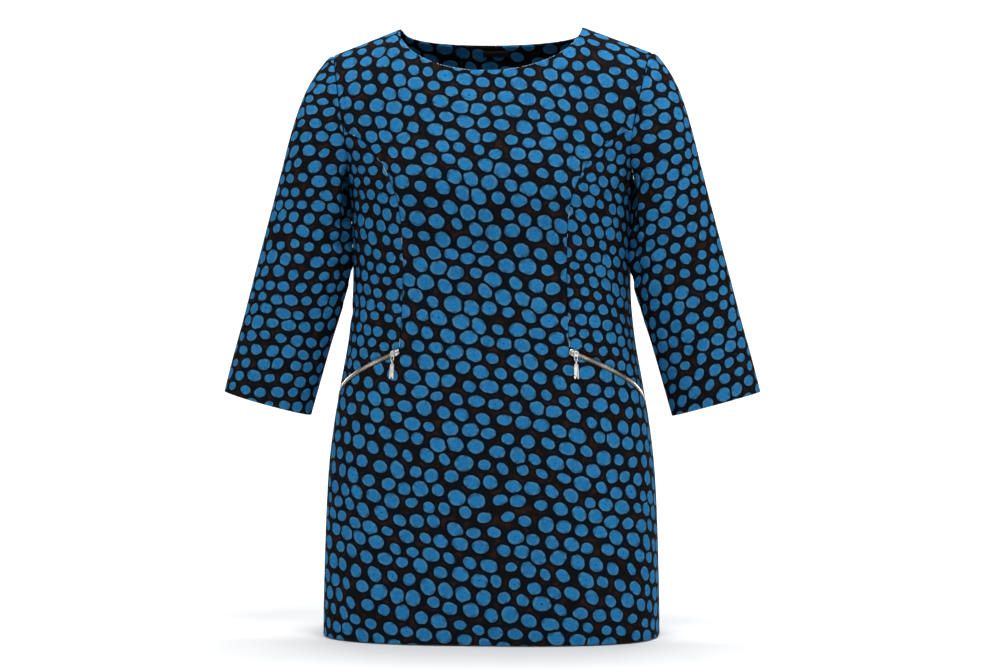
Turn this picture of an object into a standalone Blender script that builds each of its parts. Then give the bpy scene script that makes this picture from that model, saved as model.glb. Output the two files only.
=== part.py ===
"""Knitted shift dress with three-quarter sleeves and a slanted zip on each hip.

Metres, +Z up. The front faces -Y and the wearer's left side is on +X. The origin lies midway
between the two points where the shoulder seams meet the neckline. The dress keeps the hollow
form of being worn: neck, hem, cuffs and armholes are open.

Each sewn piece is an open surface with a cloth wall solidified inwards. A point of the body is
found by its height and by its length along the horizontal section from the centre line, which
together are the coordinates of the flat pattern.
"""

import math

import bmesh
import bpy
import numpy as np
from mathutils import Matrix, Vector

FRONT = -1
BACK = 1

# Cloth and seams
WALL = 0.0015
FACING_WALL = 0.001
LABEL_WALL = 0.0005
SEAM = 0.0004
LAYER_GAP = 0.0004
FACING_GAP = 0.0008

# Heights on the body
HEM = -0.845
UNDERARM = -0.222
CHEST = -0.150

# Horizontal sections of the worn dress. Above the underarm the section runs on under the
# sleeve, and the armhole cuts it off.
# height, half width, front depth, back depth, squareness
BODY_SECTIONS = (
    (-0.845, 0.2340, 0.1560, 0.1390, 2.75),
    (-0.773, 0.2332, 0.1552, 0.1410, 2.70),
    (-0.717, 0.2318, 0.1545, 0.1425, 2.65),
    (-0.661, 0.2298, 0.1535, 0.1430, 2.60),
    (-0.605, 0.2262, 0.1520, 0.1430, 2.60),
    (-0.549, 0.2193, 0.1495, 0.1400, 2.55),
    (-0.493, 0.2100, 0.1455, 0.1320, 2.50),
    (-0.437, 0.2002, 0.1405, 0.1210, 2.45),
    (-0.381, 0.1946, 0.1365, 0.1110, 2.40),
    (-0.340, 0.1938, 0.1355, 0.1080, 2.40),
    (-0.300, 0.1945, 0.1385, 0.1090, 2.40),
    (-0.260, 0.1962, 0.1435, 0.1135, 2.40),
    (-0.222, 0.2000, 0.1445, 0.1180, 2.40),
    (-0.190, 0.2080, 0.1365, 0.1190, 2.40),
    (-0.150, 0.2290, 0.1210, 0.1160, 2.40),
    (-0.110, 0.2520, 0.1050, 0.1080, 2.40),
)

# Bust fullness that the front seams shape, on each side of the centre
BUST_HALF_SPACING = 0.092
BUST_HEIGHT = -0.226
BUST_FULLNESS = 0.007
BUST_RADIUS_ACROSS = 0.060
BUST_RADIUS_UP = 0.055

# How far short of the armhole's corner the side front's tip stays
SIDE_FRONT_TIP = 0.0025

# Armhole: how far in front of and behind the side seam its edge runs at chest height
ARMHOLE_INSET = {FRONT: 0.072, BACK: 0.066}

# Neckline and shoulder
NECK_HALF_WIDTH = 0.127
NECK_DROP = {FRONT: 0.068, BACK: 0.0155}
NECK_REACH = {FRONT: 0.085, BACK: 0.064}
NECK_SHAPE = {FRONT: 1.0, BACK: 0.8}
NECK_ROLL = {FRONT: 0.5, BACK: 0.5}
NECK_LEAN = {FRONT: math.radians(24), BACK: math.radians(38)}
RIDGE_Y = 0.002
SHOULDER_TIP_X = 0.224
SHOULDER_TIP_Z = -0.0365
SHOULDER_ROUND = {FRONT: 0.92, BACK: 1.15}
NECK_SPREAD = -0.10
SHOULDER_SPREAD = 0.12

# Front seam over the bust, from the armhole to the inner end of the zip. Below the zip it is
# only a line that the panel is laid out by.
# height, distance from the centre
PRINCESS_SEAM = (
    (-0.845, 0.1180),
    (-0.660, 0.1180),
    (-0.480, 0.1165),
    (-0.452, 0.1155),
    (-0.400, 0.1130),
    (-0.350, 0.1120),
    (-0.300, 0.1125),
    (-0.270, 0.1145),
    (-0.250, 0.1180),
    (-0.232, 0.1235),
    (-0.215, 0.1305),
    (-0.199, 0.1395),
    (-0.184, 0.1510),
    (-0.172, 0.1620),
    (-0.161, 0.1755),
    (-0.150, 0.1960),
)

# Slanted zip, from the front seam down to the side seam
ZIP_INNER_HEIGHT = -0.4520
ZIP_OUTER_HEIGHT = -0.5260
ZIP_BOW = 0.0030
ZIP_SLOT = 0.0068
CHAIN_WIDTH = 0.0060
CHAIN_PROUD = 0.0006
CHAIN_THICKNESS = 0.0022
TAPE_LAP = 0.010
TAPE_END = 0.06
TAPE_WALL = 0.0008

# Mesh density
SHARES = 11
NECK_COLUMNS = 8
ZIP_STATIONS = 8
SKIRT_ROWS = 8
SIDE_ROWS = 9
SCOOP_ROWS = 5
YOKE_ROWS = 6
YOKE_CROWDING = 1.6
NECK_CROWDING = 1.5
NECK_SHARE = NECK_COLUMNS / SHARES

# Steps that slopes are measured over: a length, and a share of the yoke
SLOPE_STEP = 0.002
YOKE_SLOPE_STEP = 0.01

# Back neck facing and its bare label, in columns and rows of the back yoke
FACING_COLUMNS = 9
FACING_FIRST_ROW = 2
FACING_TOP_SHARE = 0.90
LABEL_HALF_WIDTH_SHARE = 0.51
LABEL_TOP_SHARE = 0.98
LABEL_BOTTOM_SHARE = 0.45

# Sleeve rings. The outer and inner points are the silhouette seen from the front, and the last
# column is how far the ring keeps the armhole's own shape.
# outer x, outer z, inner x, inner z, half depth, centre y, armhole share
SLEEVE_RINGS = (
    (0.2245, -0.0365, 0.2005, -0.2220, 0.0690, -0.0030, 1.00),
    (0.2300, -0.0392, 0.2006, -0.2280, 0.0690, -0.0030, 0.93),
    (0.2375, -0.0480, 0.2003, -0.2340, 0.0685, -0.0032, 0.78),
    (0.2475, -0.0620, 0.1994, -0.2410, 0.0680, -0.0055, 0.58),
    (0.2600, -0.0860, 0.1981, -0.2500, 0.0665, -0.0100, 0.30),
    (0.2700, -0.1130, 0.1970, -0.2590, 0.0650, -0.0145, 0.12),
    (0.2800, -0.1480, 0.1962, -0.2680, 0.0635, -0.0200, 0.03),
    (0.2915, -0.1945, 0.1957, -0.2800, 0.0610, -0.0225, 0.00),
    (0.3030, -0.2400, 0.1951, -0.2980, 0.0585, -0.0245, 0.00),
    (0.3180, -0.2975, 0.1948, -0.3310, 0.0565, -0.0260, 0.00),
    (0.3320, -0.3510, 0.2060, -0.3853, 0.0550, -0.0265, 0.00),
    (0.3470, -0.4090, 0.2236, -0.4430, 0.0530, -0.0265, 0.00),
    (0.3625, -0.4650, 0.2396, -0.4988, 0.0510, -0.0265, 0.00),
    (0.3735, -0.5080, 0.2517, -0.5415, 0.0500, -0.0265, 0.00),
)
ARMHOLE_GAP = 0.0005
SLEEVE_ROWS = 14
SLEEVE_ROW_GROWTH = 1.35

# Zip slider and pull: heights are above the cloth's outer face
SLIDER_FROM_END = 0.0065
SLIDER_HEADING = 0.04
SLIDER_LENGTH = 0.0140
SLIDER_INNER_WIDTH = 0.0100
SLIDER_OUTER_WIDTH = 0.0080
SLIDER_BOTTOM = 0.0010
SLIDER_TOP = 0.0029
SLIDER_BEVEL = 0.0006
POST_HALF = 0.0010
POST_OFFSET = 0.0020
POST_SPACING = 0.0070
CROWN_BOTTOM = 0.0050
CROWN_TOP = 0.0064
CROWN_WIDTH = 0.0020
CROWN_CORNER = 0.8
LINK_BOTTOM = 0.0032
LINK_TOP = 0.0046
LINK_EYE_RADIUS = 0.0018
LINK_HEAD_RADIUS = 0.0032
LINK_WIDTH = 0.0050
LINK_WINDOW_WIDTH = 0.0030
LINK_WINDOW_TOP = 0.0042
PIN_DISTANCE = 0.0098
PIN_HALF_WIDTH = 0.0007
KNUCKLE_INNER_RADIUS = 0.00125
KNUCKLE_OUTER_RADIUS = 0.0021
KNUCKLE_WIDTH = 0.0023
BAR_START = 0.0043
BAR_LENGTH = 0.0252
BAR_TOP_WIDTH = 0.0056
BAR_BOTTOM_WIDTH = 0.0074
BAR_RIB_TOP_RADIUS = 0.0012
BAR_RIB_BOTTOM_RADIUS = 0.0015
BAR_WEB_THICKNESS = 0.0012
BAR_NOTCH = 0.0018
BAR_NECK_INSET = 0.0002
BAR_NECK_ROOT = 0.0003

# Along a rib from the top: share of its length, fullness of its radius
RIB_PROFILE = (
    (0.000, 0.45),
    (0.020, 0.85),
    (0.060, 1.00),
    (0.930, 1.00),
    (0.975, 0.80),
    (1.000, 0.40),
)

KNIT_BLUE = (0.020, 0.065, 0.140, 1.0)
FACING_BLUE = (0.012, 0.040, 0.090, 1.0)
LABEL_BLACK = (0.010, 0.010, 0.012, 1.0)
TAPE_BLACK = (0.012, 0.012, 0.014, 1.0)
CHAIN_METAL = (0.36, 0.32, 0.28, 1.0)
SLIDER_METAL = (0.72, 0.70, 0.67, 1.0)


def table_curve(rows):
    """A smooth curve through a table: its first column gives the place, the others follow it."""
    table = np.array(rows)
    places = table[:, 0]
    values = table[:, 1:]
    slopes = np.gradient(values, places, axis=0)

    def at(place):
        i = int(np.clip(np.searchsorted(places, place) - 1, 0, len(places) - 2))
        step = places[i + 1] - places[i]
        t = (place - places[i]) / step
        return hermite(values[i], slopes[i] * step, values[i + 1], slopes[i + 1] * step, t)

    return at


def hermite(start, start_slope, end, end_slope, t):
    return (
        (2 * t**3 - 3 * t**2 + 1) * start
        + (t**3 - 2 * t**2 + t) * start_slope
        + (3 * t**2 - 2 * t**3) * end
        + (t**3 - t**2) * end_slope
    )


def blend(a, b, t):
    return a + (b - a) * t


body_section = table_curve(BODY_SECTIONS)
princess_x = table_curve(PRINCESS_SEAM)
QUARTER_TURN = np.linspace(0.0, math.pi / 2, 241)


# --- the body's surface -------------------------------------------------------------------


def section_line(side, height):
    """Half of a section from the centre line to the side seam: x, y and the length so far."""
    half_width, front, back, squareness = body_section(height)
    depth = front if side == FRONT else back
    across = np.abs(np.sin(QUARTER_TURN)) / half_width
    along_y = np.abs(np.cos(QUARTER_TURN)) / depth
    reach = (across**squareness + along_y**squareness) ** (-1 / squareness)
    x = reach * np.sin(QUARTER_TURN)
    y = side * reach * np.cos(QUARTER_TURN)
    if side == FRONT:
        out = ((x - BUST_HALF_SPACING) / BUST_RADIUS_ACROSS) ** 2
        up = ((height - BUST_HEIGHT) / BUST_RADIUS_UP) ** 2
        y = y - BUST_FULLNESS * np.exp(-out - up)
    length = np.concatenate([[0.0], np.cumsum(np.hypot(np.diff(x), np.diff(y)))])
    return x, y, length


def on_body(side, along, height):
    """The body's outer face at a length along its section and a height."""
    x, y, length = section_line(side, height)
    return np.array([np.interp(along, length, x), np.interp(along, length, y), height])


def edge_along(side, height):
    """Where the section ends: at the side seam, or above the underarm at the armhole."""
    x, y, length = section_line(side, height)
    if height <= UNDERARM:
        return length[-1]
    drop = min(1.0, (CHEST - height) / (CHEST - UNDERARM))
    inset = ARMHOLE_INSET[side] * math.sqrt(1.0 - drop**2)
    return np.interp(-inset, -np.abs(y), length)


def princess_along(height):
    """The length from the centre line to the front seam."""
    x, y, length = section_line(FRONT, height)
    return np.interp(princess_x(height)[0], x, length)


def side_point(side, height):
    """The pattern point on the side seam, or on the armhole above it."""
    clearance = SEAM / 2 if height <= UNDERARM else 0.0
    return np.array([edge_along(side, height) - clearance, height])


def princess_point(height, outwards):
    """The pattern point on one edge of the front seam: outwards is 1 for the side's edge."""
    step = SLOPE_STEP
    slope = (princess_along(height + step) - princess_along(height - step)) / (2 * step)
    clearance = SEAM / 2 * math.sqrt(1.0 + slope**2)
    return np.array([princess_along(height) + outwards * clearance, height])


def towards_neck_point(share):
    """How far round the neckline a share lies, from the centre (0) to the shoulder seam (1)."""
    return 1.0 - max(1.0 - share / NECK_SHARE, 0.0) ** NECK_CROWDING


def top_edge(side, share):
    """The neckline up to the shoulder seam, then the shoulder seam out to its tip."""
    if share <= NECK_SHARE:
        turn = math.pi / 2 * towards_neck_point(share)
        fall = max(math.cos(turn), 0.0) if share < NECK_SHARE else 0.0
        return np.array(
            [
                NECK_HALF_WIDTH * math.sin(turn),
                RIDGE_Y + side * NECK_REACH[side] * fall ** NECK_ROLL[side],
                -NECK_DROP[side] * fall ** NECK_SHAPE[side],
            ]
        )
    out = (share - NECK_SHARE) / (1.0 - NECK_SHARE)
    return np.array(
        [
            blend(NECK_HALF_WIDTH, SHOULDER_TIP_X, out),
            RIDGE_Y,
            SHOULDER_TIP_Z * out,
        ]
    )


def yoke(side, share, rise):
    """The body above chest height: share runs from the centre to the armhole, rise upwards."""
    step = SLOPE_STEP
    foot = on_body(side, share * edge_along(side, CHEST), CHEST)
    below = on_body(side, share * edge_along(side, CHEST - step), CHEST - step)
    foot_direction = (foot - below) / step
    top = top_edge(side, share)
    towards_neck = towards_neck_point(share)
    lean = blend(NECK_LEAN[side], math.pi / 2, 1.0 - math.sqrt(1.0 - towards_neck**2))
    out = max(share - NECK_SHARE, 0.0) / (1.0 - NECK_SHARE)
    spread = blend(NECK_SPREAD * towards_neck**2, SHOULDER_SPREAD, out)
    top_direction = np.array([spread, -side * math.sin(lean), math.cos(lean)])
    pull = np.linalg.norm(top - foot) * blend(1.0, SHOULDER_ROUND[side], towards_neck)
    return hermite(foot, foot_direction * pull, top, top_direction * pull, rise)


def yoke_top(side, share):
    """The rise that leaves half a seam free at the shoulder."""
    reach = np.linalg.norm(top_edge(side, share) - on_body(side, share * edge_along(side, CHEST), CHEST))
    return 1.0 - SEAM / 2 / reach


def body_normal(side, along, height):
    """The outward direction of the body's face."""
    step = SLOPE_STEP
    across = on_body(side, along + step, height) - on_body(side, along - step, height)
    up = on_body(side, along, height + step) - on_body(side, along, height - step)
    normal = np.cross(across, up) * -side
    return normal / np.linalg.norm(normal)


# --- the shared rows of the seams ---------------------------------------------------------


def zip_height(share):
    return blend(ZIP_INNER_HEIGHT, ZIP_OUTER_HEIGHT, share) + 4 * ZIP_BOW * share * (1 - share)


def zip_point(share, rise, inner_edge, seam=SEAM / 2):
    """A pattern point beside the zip's centre line, rise above it along the dress."""
    height = zip_height(share) + rise
    inner = princess_point(height, inner_edge)[0]
    outer = edge_along(FRONT, height) - seam
    return np.array([blend(inner, outer, share), height])


def zip_half(width):
    """Half of a width that is measured square to the zip, taken upright."""
    run = edge_along(FRONT, ZIP_OUTER_HEIGHT) - princess_along(ZIP_INNER_HEIGHT)
    fall = ZIP_INNER_HEIGHT - ZIP_OUTER_HEIGHT
    return width / 2 * math.hypot(run, fall) / run


SLOT_HALF = zip_half(ZIP_SLOT)
ZIP_SHARES = np.linspace(0.0, 1.0, ZIP_STATIONS + 1)
LOWER_EDGE = [zip_point(share, -SLOT_HALF, -1) for share in ZIP_SHARES]
UPPER_EDGE = [zip_point(share, SLOT_HALF, 1) for share in ZIP_SHARES]
SCOOP_TURNS = np.linspace(0.0, math.pi / 2, SCOOP_ROWS + 1)
SCOOP_HEIGHTS = CHEST - (CHEST - UNDERARM) * np.cos(SCOOP_TURNS)
SKIRT_HEIGHTS = np.linspace(HEM, LOWER_EDGE[-1][1], SKIRT_ROWS + 1)
SIDE_HEIGHTS = np.concatenate(
    [np.linspace(UPPER_EDGE[-1][1], UNDERARM, SIDE_ROWS + 1), SCOOP_HEIGHTS[1:]]
)
ARMHOLE_CORNER = CHEST - 0.0014
PRINCESS_HEIGHTS = np.linspace(UPPER_EDGE[0][1], CHEST, len(SIDE_HEIGHTS))[:-1]
YOKE_RISES = 1.0 - (1.0 - np.linspace(0.0, 1.0, YOKE_ROWS + 1)) ** YOKE_CROWDING


# --- making objects -----------------------------------------------------------------------


def new_material(name, colour, roughness, metallic=0.0):
    material = bpy.data.materials.new(name)
    material.diffuse_color = colour
    material.use_nodes = True
    shader = material.node_tree.nodes["Principled BSDF"]
    shader.inputs["Base Color"].default_value = colour
    shader.inputs["Roughness"].default_value = roughness
    shader.inputs["Metallic"].default_value = metallic
    return material


def add_grid(mesh, rows, flip=False):
    """Lofts quads through rows of points, facing outwards when they run right and up."""
    lines = [[mesh.verts.new(point) for point in row] for row in rows]
    for low, high in zip(lines, lines[1:]):
        for i in range(len(low) - 1):
            corners = (low[i], low[i + 1], high[i + 1], high[i])
            mesh.faces.new(reversed(corners) if flip else corners)


def new_object(name, mesh, material, collection):
    mesh.materials.append(material)
    mesh.shade_smooth()
    obj = bpy.data.objects.new(name, mesh)
    collection.objects.link(obj)
    return obj


def cloth_piece(name, grids, thickness, material, collection, flip=False, mirrored=False):
    """An open surface of one or more grids, with a wall solidified on its inner side."""
    surface = bmesh.new()
    for rows in grids:
        add_grid(surface, rows, flip)
    bmesh.ops.remove_doubles(surface, verts=surface.verts, dist=0.00001)
    mesh = bpy.data.meshes.new(name)
    surface.to_mesh(mesh)
    surface.free()
    obj = new_object(name, mesh, material, collection)
    if mirrored:
        mirror = obj.modifiers.new("other half", "MIRROR")
        mirror.merge_threshold = 0.0001
    split = obj.modifiers.new("short diagonals", "TRIANGULATE")
    split.quad_method = "SHORTEST_DIAGONAL"
    wall = obj.modifiers.new("cloth wall", "SOLIDIFY")
    wall.thickness = thickness
    wall.offset = -1.0
    wall.use_even_offset = True
    return obj


def to_side(sign, rows):
    """The same rows on the wearer's left (+1) or right (-1)."""
    return [[np.array([sign * point[0], point[1], point[2]]) for point in row] for row in rows]


def pattern_rows(side, starts, ends, columns):
    """Rows between pairs of pattern points, laid on the body."""
    return [
        [on_body(side, *blend(start, end, share)) for share in np.linspace(0.0, 1.0, columns + 1)]
        for start, end in zip(starts, ends)
    ]


# --- the cloth pieces ---------------------------------------------------------------------


def yoke_rows(side, first_share=0.0):
    """The body above the chest, from the centre line or its seam to the armhole."""
    rows = []
    for rise in YOKE_RISES:
        shares = np.maximum(np.linspace(0.0, 1.0, SHARES + 1), first_share)
        rows.append([yoke(side, share, rise * yoke_top(side, share)) for share in shares])
    return rows


def make_front_panel(cloth, collection):
    """Centre front with the whole lower skirt, from side seam to side seam below the zips."""
    heights = np.linspace(HEM, LOWER_EDGE[0][1], SKIRT_ROWS + 1)
    edges = [princess_point(height, -1) for height in (*heights, *PRINCESS_HEIGHTS)]
    centres = [np.array([0.0, edge[1]]) for edge in edges]
    centre_rows = pattern_rows(FRONT, centres, edges, SHARES) + yoke_rows(FRONT)
    skirt_rows = []
    for rise in np.linspace(0.0, 1.0, SKIRT_ROWS + 1):
        row = []
        for share, lower in zip(ZIP_SHARES, LOWER_EDGE):
            height = blend(HEM, lower[1], rise)
            along = blend(princess_point(height, -1)[0], side_point(FRONT, height)[0], share)
            row.append(on_body(FRONT, along, height))
        skirt_rows.append(row)
    grids = (centre_rows, skirt_rows)
    cloth_piece("front_panel", grids, WALL, cloth, collection, mirrored=True)


def side_front_tip():
    """The side front's top point, a seam's width beside the front panel's edge to the armhole."""
    low = princess_point(PRINCESS_HEIGHTS[-1], -1)
    corner = np.array([edge_along(FRONT, CHEST), CHEST])
    way = (corner - low) / np.linalg.norm(corner - low)
    return corner - SIDE_FRONT_TIP * way + 2 * SEAM * np.array([way[1], -way[0]])


def make_side_front(name, sign, cloth, collection):
    """From the bust seam round to the side seam, above the zip and up to the armhole."""
    starts = [*(princess_point(height, 1) for height in PRINCESS_HEIGHTS), side_front_tip()]
    ends = [side_point(FRONT, height) for height in (*SIDE_HEIGHTS[:-1], ARMHOLE_CORNER)]
    rows = []
    for i, (start, end) in enumerate(zip(starts, ends)):
        towards_zip = 1.0 - i / (len(starts) - 1)
        row = []
        for share, upper in zip(ZIP_SHARES, UPPER_EDGE):
            to_slot = upper - blend(UPPER_EDGE[0], UPPER_EDGE[-1], share)
            row.append(on_body(FRONT, *(blend(start, end, share) + to_slot * towards_zip)))
        rows.append(row)
    cloth_piece(name, [to_side(sign, rows)], WALL, cloth, collection, flip=sign < 0)


def make_back(name, sign, cloth, collection):
    """Half of the back, from the centre back seam to the side seam and the armhole."""
    heights = (*SKIRT_HEIGHTS, *SIDE_HEIGHTS[:-1])
    starts = [np.array([SEAM / 2, height]) for height in heights]
    ends = [side_point(BACK, height) for height in heights]
    seam_share = SEAM / 2 / edge_along(BACK, CHEST)
    rows = pattern_rows(BACK, starts, ends, SHARES) + yoke_rows(BACK, seam_share)
    cloth_piece(name, [to_side(sign, rows)], WALL, cloth, collection, flip=sign > 0)


def armhole_ring():
    """The body's armhole edge from the shoulder tip round the front and the back."""
    halves = []
    for side in (FRONT, BACK):
        upper = [yoke(side, 1.0, rise * yoke_top(side, 1.0)) for rise in YOKE_RISES[-2::-1]]
        scoop = [on_body(side, edge_along(side, height), height) for height in SCOOP_HEIGHTS[-2:0:-1]]
        halves.append(upper + scoop)
    tip = top_edge(FRONT, 1.0)
    underarm = on_body(FRONT, edge_along(FRONT, UNDERARM), UNDERARM)
    points = [tip, *halves[0], underarm, *halves[1][::-1]]
    return [point + np.array([ARMHOLE_GAP, 0.0, 0.0]) for point in points]


def ring_turns(points):
    """The angle of each armhole point: half a turn in front and half a turn behind, by length."""
    steps = [np.linalg.norm(b - a) for a, b in zip(points, points[1:] + points[:1])]
    half = len(points) // 2
    front = np.cumsum([0.0] + steps[:half])
    back = np.cumsum([0.0] + steps[half:])
    return np.concatenate([front[:-1] / front[-1], 1.0 + back[:-1] / back[-1]]) * math.pi


def sleeve_frame(ring):
    """Centre, half width and the three directions of a ring: outwards, forwards and down."""
    outer_x, outer_z, inner_x, inner_z, half_depth, centre_y = ring[:6]
    outer = np.array([outer_x, centre_y, outer_z])
    inner = np.array([inner_x, centre_y, inner_z])
    half_width = np.linalg.norm(outer - inner) / 2
    outwards = (outer - inner) / (2 * half_width)
    forwards = np.array([0.0, -1.0, 0.0])
    return (outer + inner) / 2, half_width, half_depth, outwards, forwards, np.cross(forwards, outwards)


def ring_point(ring, turn):
    centre, half_width, half_depth, outwards, forwards, _ = sleeve_frame(ring)
    return centre + half_width * math.cos(turn) * outwards + half_depth * math.sin(turn) * forwards


def sleeve_rows():
    """Rings from the armhole to the cuff, easing from the armhole's shape to ovals."""
    armhole = armhole_ring()
    turns = ring_turns(armhole)
    rings = np.array(SLEEVE_RINGS)
    steps = np.hypot(np.diff(rings[:, 0]), np.diff(rings[:, 1]))
    places = np.concatenate([[0.0], np.cumsum(steps)])
    ring_at = table_curve(np.column_stack([places / places[-1], rings]))
    first = rings[0]
    _, _, _, *first_axes = sleeve_frame(first)
    offsets = [point - ring_point(first, turn) for point, turn in zip(armhole, turns)]
    rows = []
    for place in np.linspace(0.0, 1.0, SLEEVE_ROWS + 1) ** SLEEVE_ROW_GROWTH:
        ring = ring_at(place)
        _, _, _, *axes = sleeve_frame(ring)
        row = []
        for turn, offset in zip(turns, offsets):
            point = ring_point(ring, turn)
            for axis, first_axis in zip(axes, first_axes):
                point = point + ring[6] * np.dot(offset, first_axis) * axis
            row.append(point)
        rows.append(row + row[:1])
    return rows


def make_sleeve(name, sign, cloth, collection):
    """A one-piece set-in sleeve, a tube open at the armhole and the cuff."""
    cloth_piece(name, [to_side(sign, sleeve_rows())], WALL, cloth, collection, flip=sign < 0)


def inside_back_yoke(column, row, depth):
    """A grid point of the back yoke, moved in from the outer face."""
    share = column / SHARES
    rise = YOKE_RISES[row] * yoke_top(BACK, share)
    step = YOKE_SLOPE_STEP
    across = yoke(BACK, share + step, rise) - yoke(BACK, max(share - step, 0.0), rise)
    up = yoke(BACK, share, rise + step) - yoke(BACK, share, rise - step)
    normal = np.cross(up, across)
    return yoke(BACK, share, rise) - depth * normal / np.linalg.norm(normal)


def make_back_neck_facing(cloth, collection):
    """The facing that shows inside the back neck, lying on the back panels."""
    depth = WALL + FACING_GAP
    rows = [
        [inside_back_yoke(column, row, depth) for column in range(FACING_COLUMNS + 1)]
        for row in range(FACING_FIRST_ROW, YOKE_ROWS + 1)
    ]
    rows[-1] = [blend(low, high, FACING_TOP_SHARE) for low, high in zip(rows[-2], rows[-1])]
    name = "back_neck_facing"
    cloth_piece(name, [rows], FACING_WALL, cloth, collection, flip=True, mirrored=True)


def make_neck_label(cloth, collection):
    """A bare woven label on the facing at the centre back."""
    depth = WALL + FACING_GAP + FACING_WALL + LAYER_GAP
    rows = (YOKE_ROWS - 2, YOKE_ROWS - 1)
    corners = [[inside_back_yoke(column, row, depth) for column in (0, 1)] for row in rows]
    rows = []
    for rise in (LABEL_BOTTOM_SHARE, LABEL_TOP_SHARE):
        start, end = (blend(corners[0][column], corners[1][column], rise) for column in (0, 1))
        start[0] = 0.0
        rows.append([start, blend(start, end, LABEL_HALF_WIDTH_SHARE)])
    cloth_piece("neck_label", [rows], LABEL_WALL, cloth, collection, flip=True, mirrored=True)


# --- the zips -----------------------------------------------------------------------------


def zip_rows(rises, shares, lift, inner_edge):
    """Rows along the zip, lifted from the cloth's outer face."""
    rows = []
    for rise in rises:
        row = []
        for share in shares:
            pattern = zip_point(share, rise, inner_edge)
            row.append(on_body(FRONT, *pattern) + lift * body_normal(FRONT, *pattern))
        rows.append(row)
    return rows


def make_zip_tape(name, sign, material, collection):
    """The tape behind both edges of the slot, reaching a little past its inner end."""
    edge = SLOT_HALF + TAPE_LAP
    rises = (-edge, -SLOT_HALF, SLOT_HALF, edge)
    shares = (-TAPE_END, *ZIP_SHARES)
    rows = zip_rows(rises, shares, -(WALL + LAYER_GAP), 0)
    cloth_piece(name, [to_side(sign, rows)], TAPE_WALL, material, collection, flip=sign < 0)


def make_zip_chain(name, sign, material, collection):
    """The closed chain of teeth as one strip in the slot."""
    half = zip_half(CHAIN_WIDTH)
    rows = zip_rows((-half, half), ZIP_SHARES, CHAIN_PROUD, 1)
    cloth_piece(name, [to_side(sign, rows)], CHAIN_THICKNESS, material, collection, flip=sign < 0)


def arc(centre_x, centre_y, radius, start, end, steps):
    turns = np.linspace(start, end, steps + 1)
    return [(centre_x + radius * math.cos(turn), centre_y + radius * math.sin(turn)) for turn in turns]


def plate(name, outlines, thickness, collection):
    """A flat plate from its outline and the outlines of its holes, as a closed mesh."""
    curve = bpy.data.curves.new(name, "CURVE")
    curve.dimensions = "2D"
    curve.fill_mode = "BOTH"
    curve.extrude = thickness / 2
    for outline in outlines:
        spline = curve.splines.new("POLY")
        spline.points.add(len(outline) - 1)
        for point, (x, y) in zip(spline.points, outline):
            point.co = (x, y, 0.0, 1.0)
        spline.use_cyclic_u = True
    flat = bpy.data.objects.new(name, curve)
    collection.objects.link(flat)
    graph = bpy.context.evaluated_depsgraph_get()
    mesh = bpy.data.meshes.new_from_object(flat.evaluated_get(graph))
    bpy.data.objects.remove(flat)
    bpy.data.curves.remove(curve)
    weld(mesh)
    obj = bpy.data.objects.new(name, mesh)
    collection.objects.link(obj)
    return obj


def weld(mesh):
    """Joins a curve's loose caps to its sides."""
    solid = bmesh.new()
    solid.from_mesh(mesh)
    bmesh.ops.remove_doubles(solid, verts=solid.verts, dist=0.00001)
    bmesh.ops.recalc_face_normals(solid, faces=solid.faces)
    solid.to_mesh(mesh)
    solid.free()


def join_with(obj, others):
    """Unions the other solids into this one, and keeps them as hidden operands."""
    for other in others:
        other.hide_render = True
        other.display_type = "WIRE"
        union = obj.modifiers.new("join " + other.name, "BOOLEAN")
        union.operation = "UNION"
        union.solver = "EXACT"
        union.object = other


def zip_frame(sign):
    """Where the slider sits: its centre, outward normal, way along the zip and way down."""
    run = edge_along(FRONT, ZIP_OUTER_HEIGHT) - princess_along(ZIP_INNER_HEIGHT)
    length = math.hypot(run, ZIP_INNER_HEIGHT - ZIP_OUTER_HEIGHT)
    share = SLIDER_FROM_END / length
    pattern = zip_point(share, 0.0, 0)
    ahead = on_body(FRONT, *zip_point(share + SLIDER_HEADING, 0.0, 0))
    mirror = np.array([sign, 1.0, 1.0])
    centre = Vector(on_body(FRONT, *pattern) * mirror)
    normal = Vector(body_normal(FRONT, *pattern) * mirror).normalized()
    along = Vector(ahead * mirror) - centre
    along = (along - along.dot(normal) * normal).normalized()
    down = Vector((0.0, 0.0, -1.0))
    down = (down - down.dot(normal) * normal).normalized()
    return centre, normal, along, down


def axes_matrix(origin, x_axis, y_axis, z_axis):
    matrix = Matrix((x_axis, y_axis, z_axis)).transposed().to_4x4()
    matrix.translation = origin
    return matrix


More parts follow.
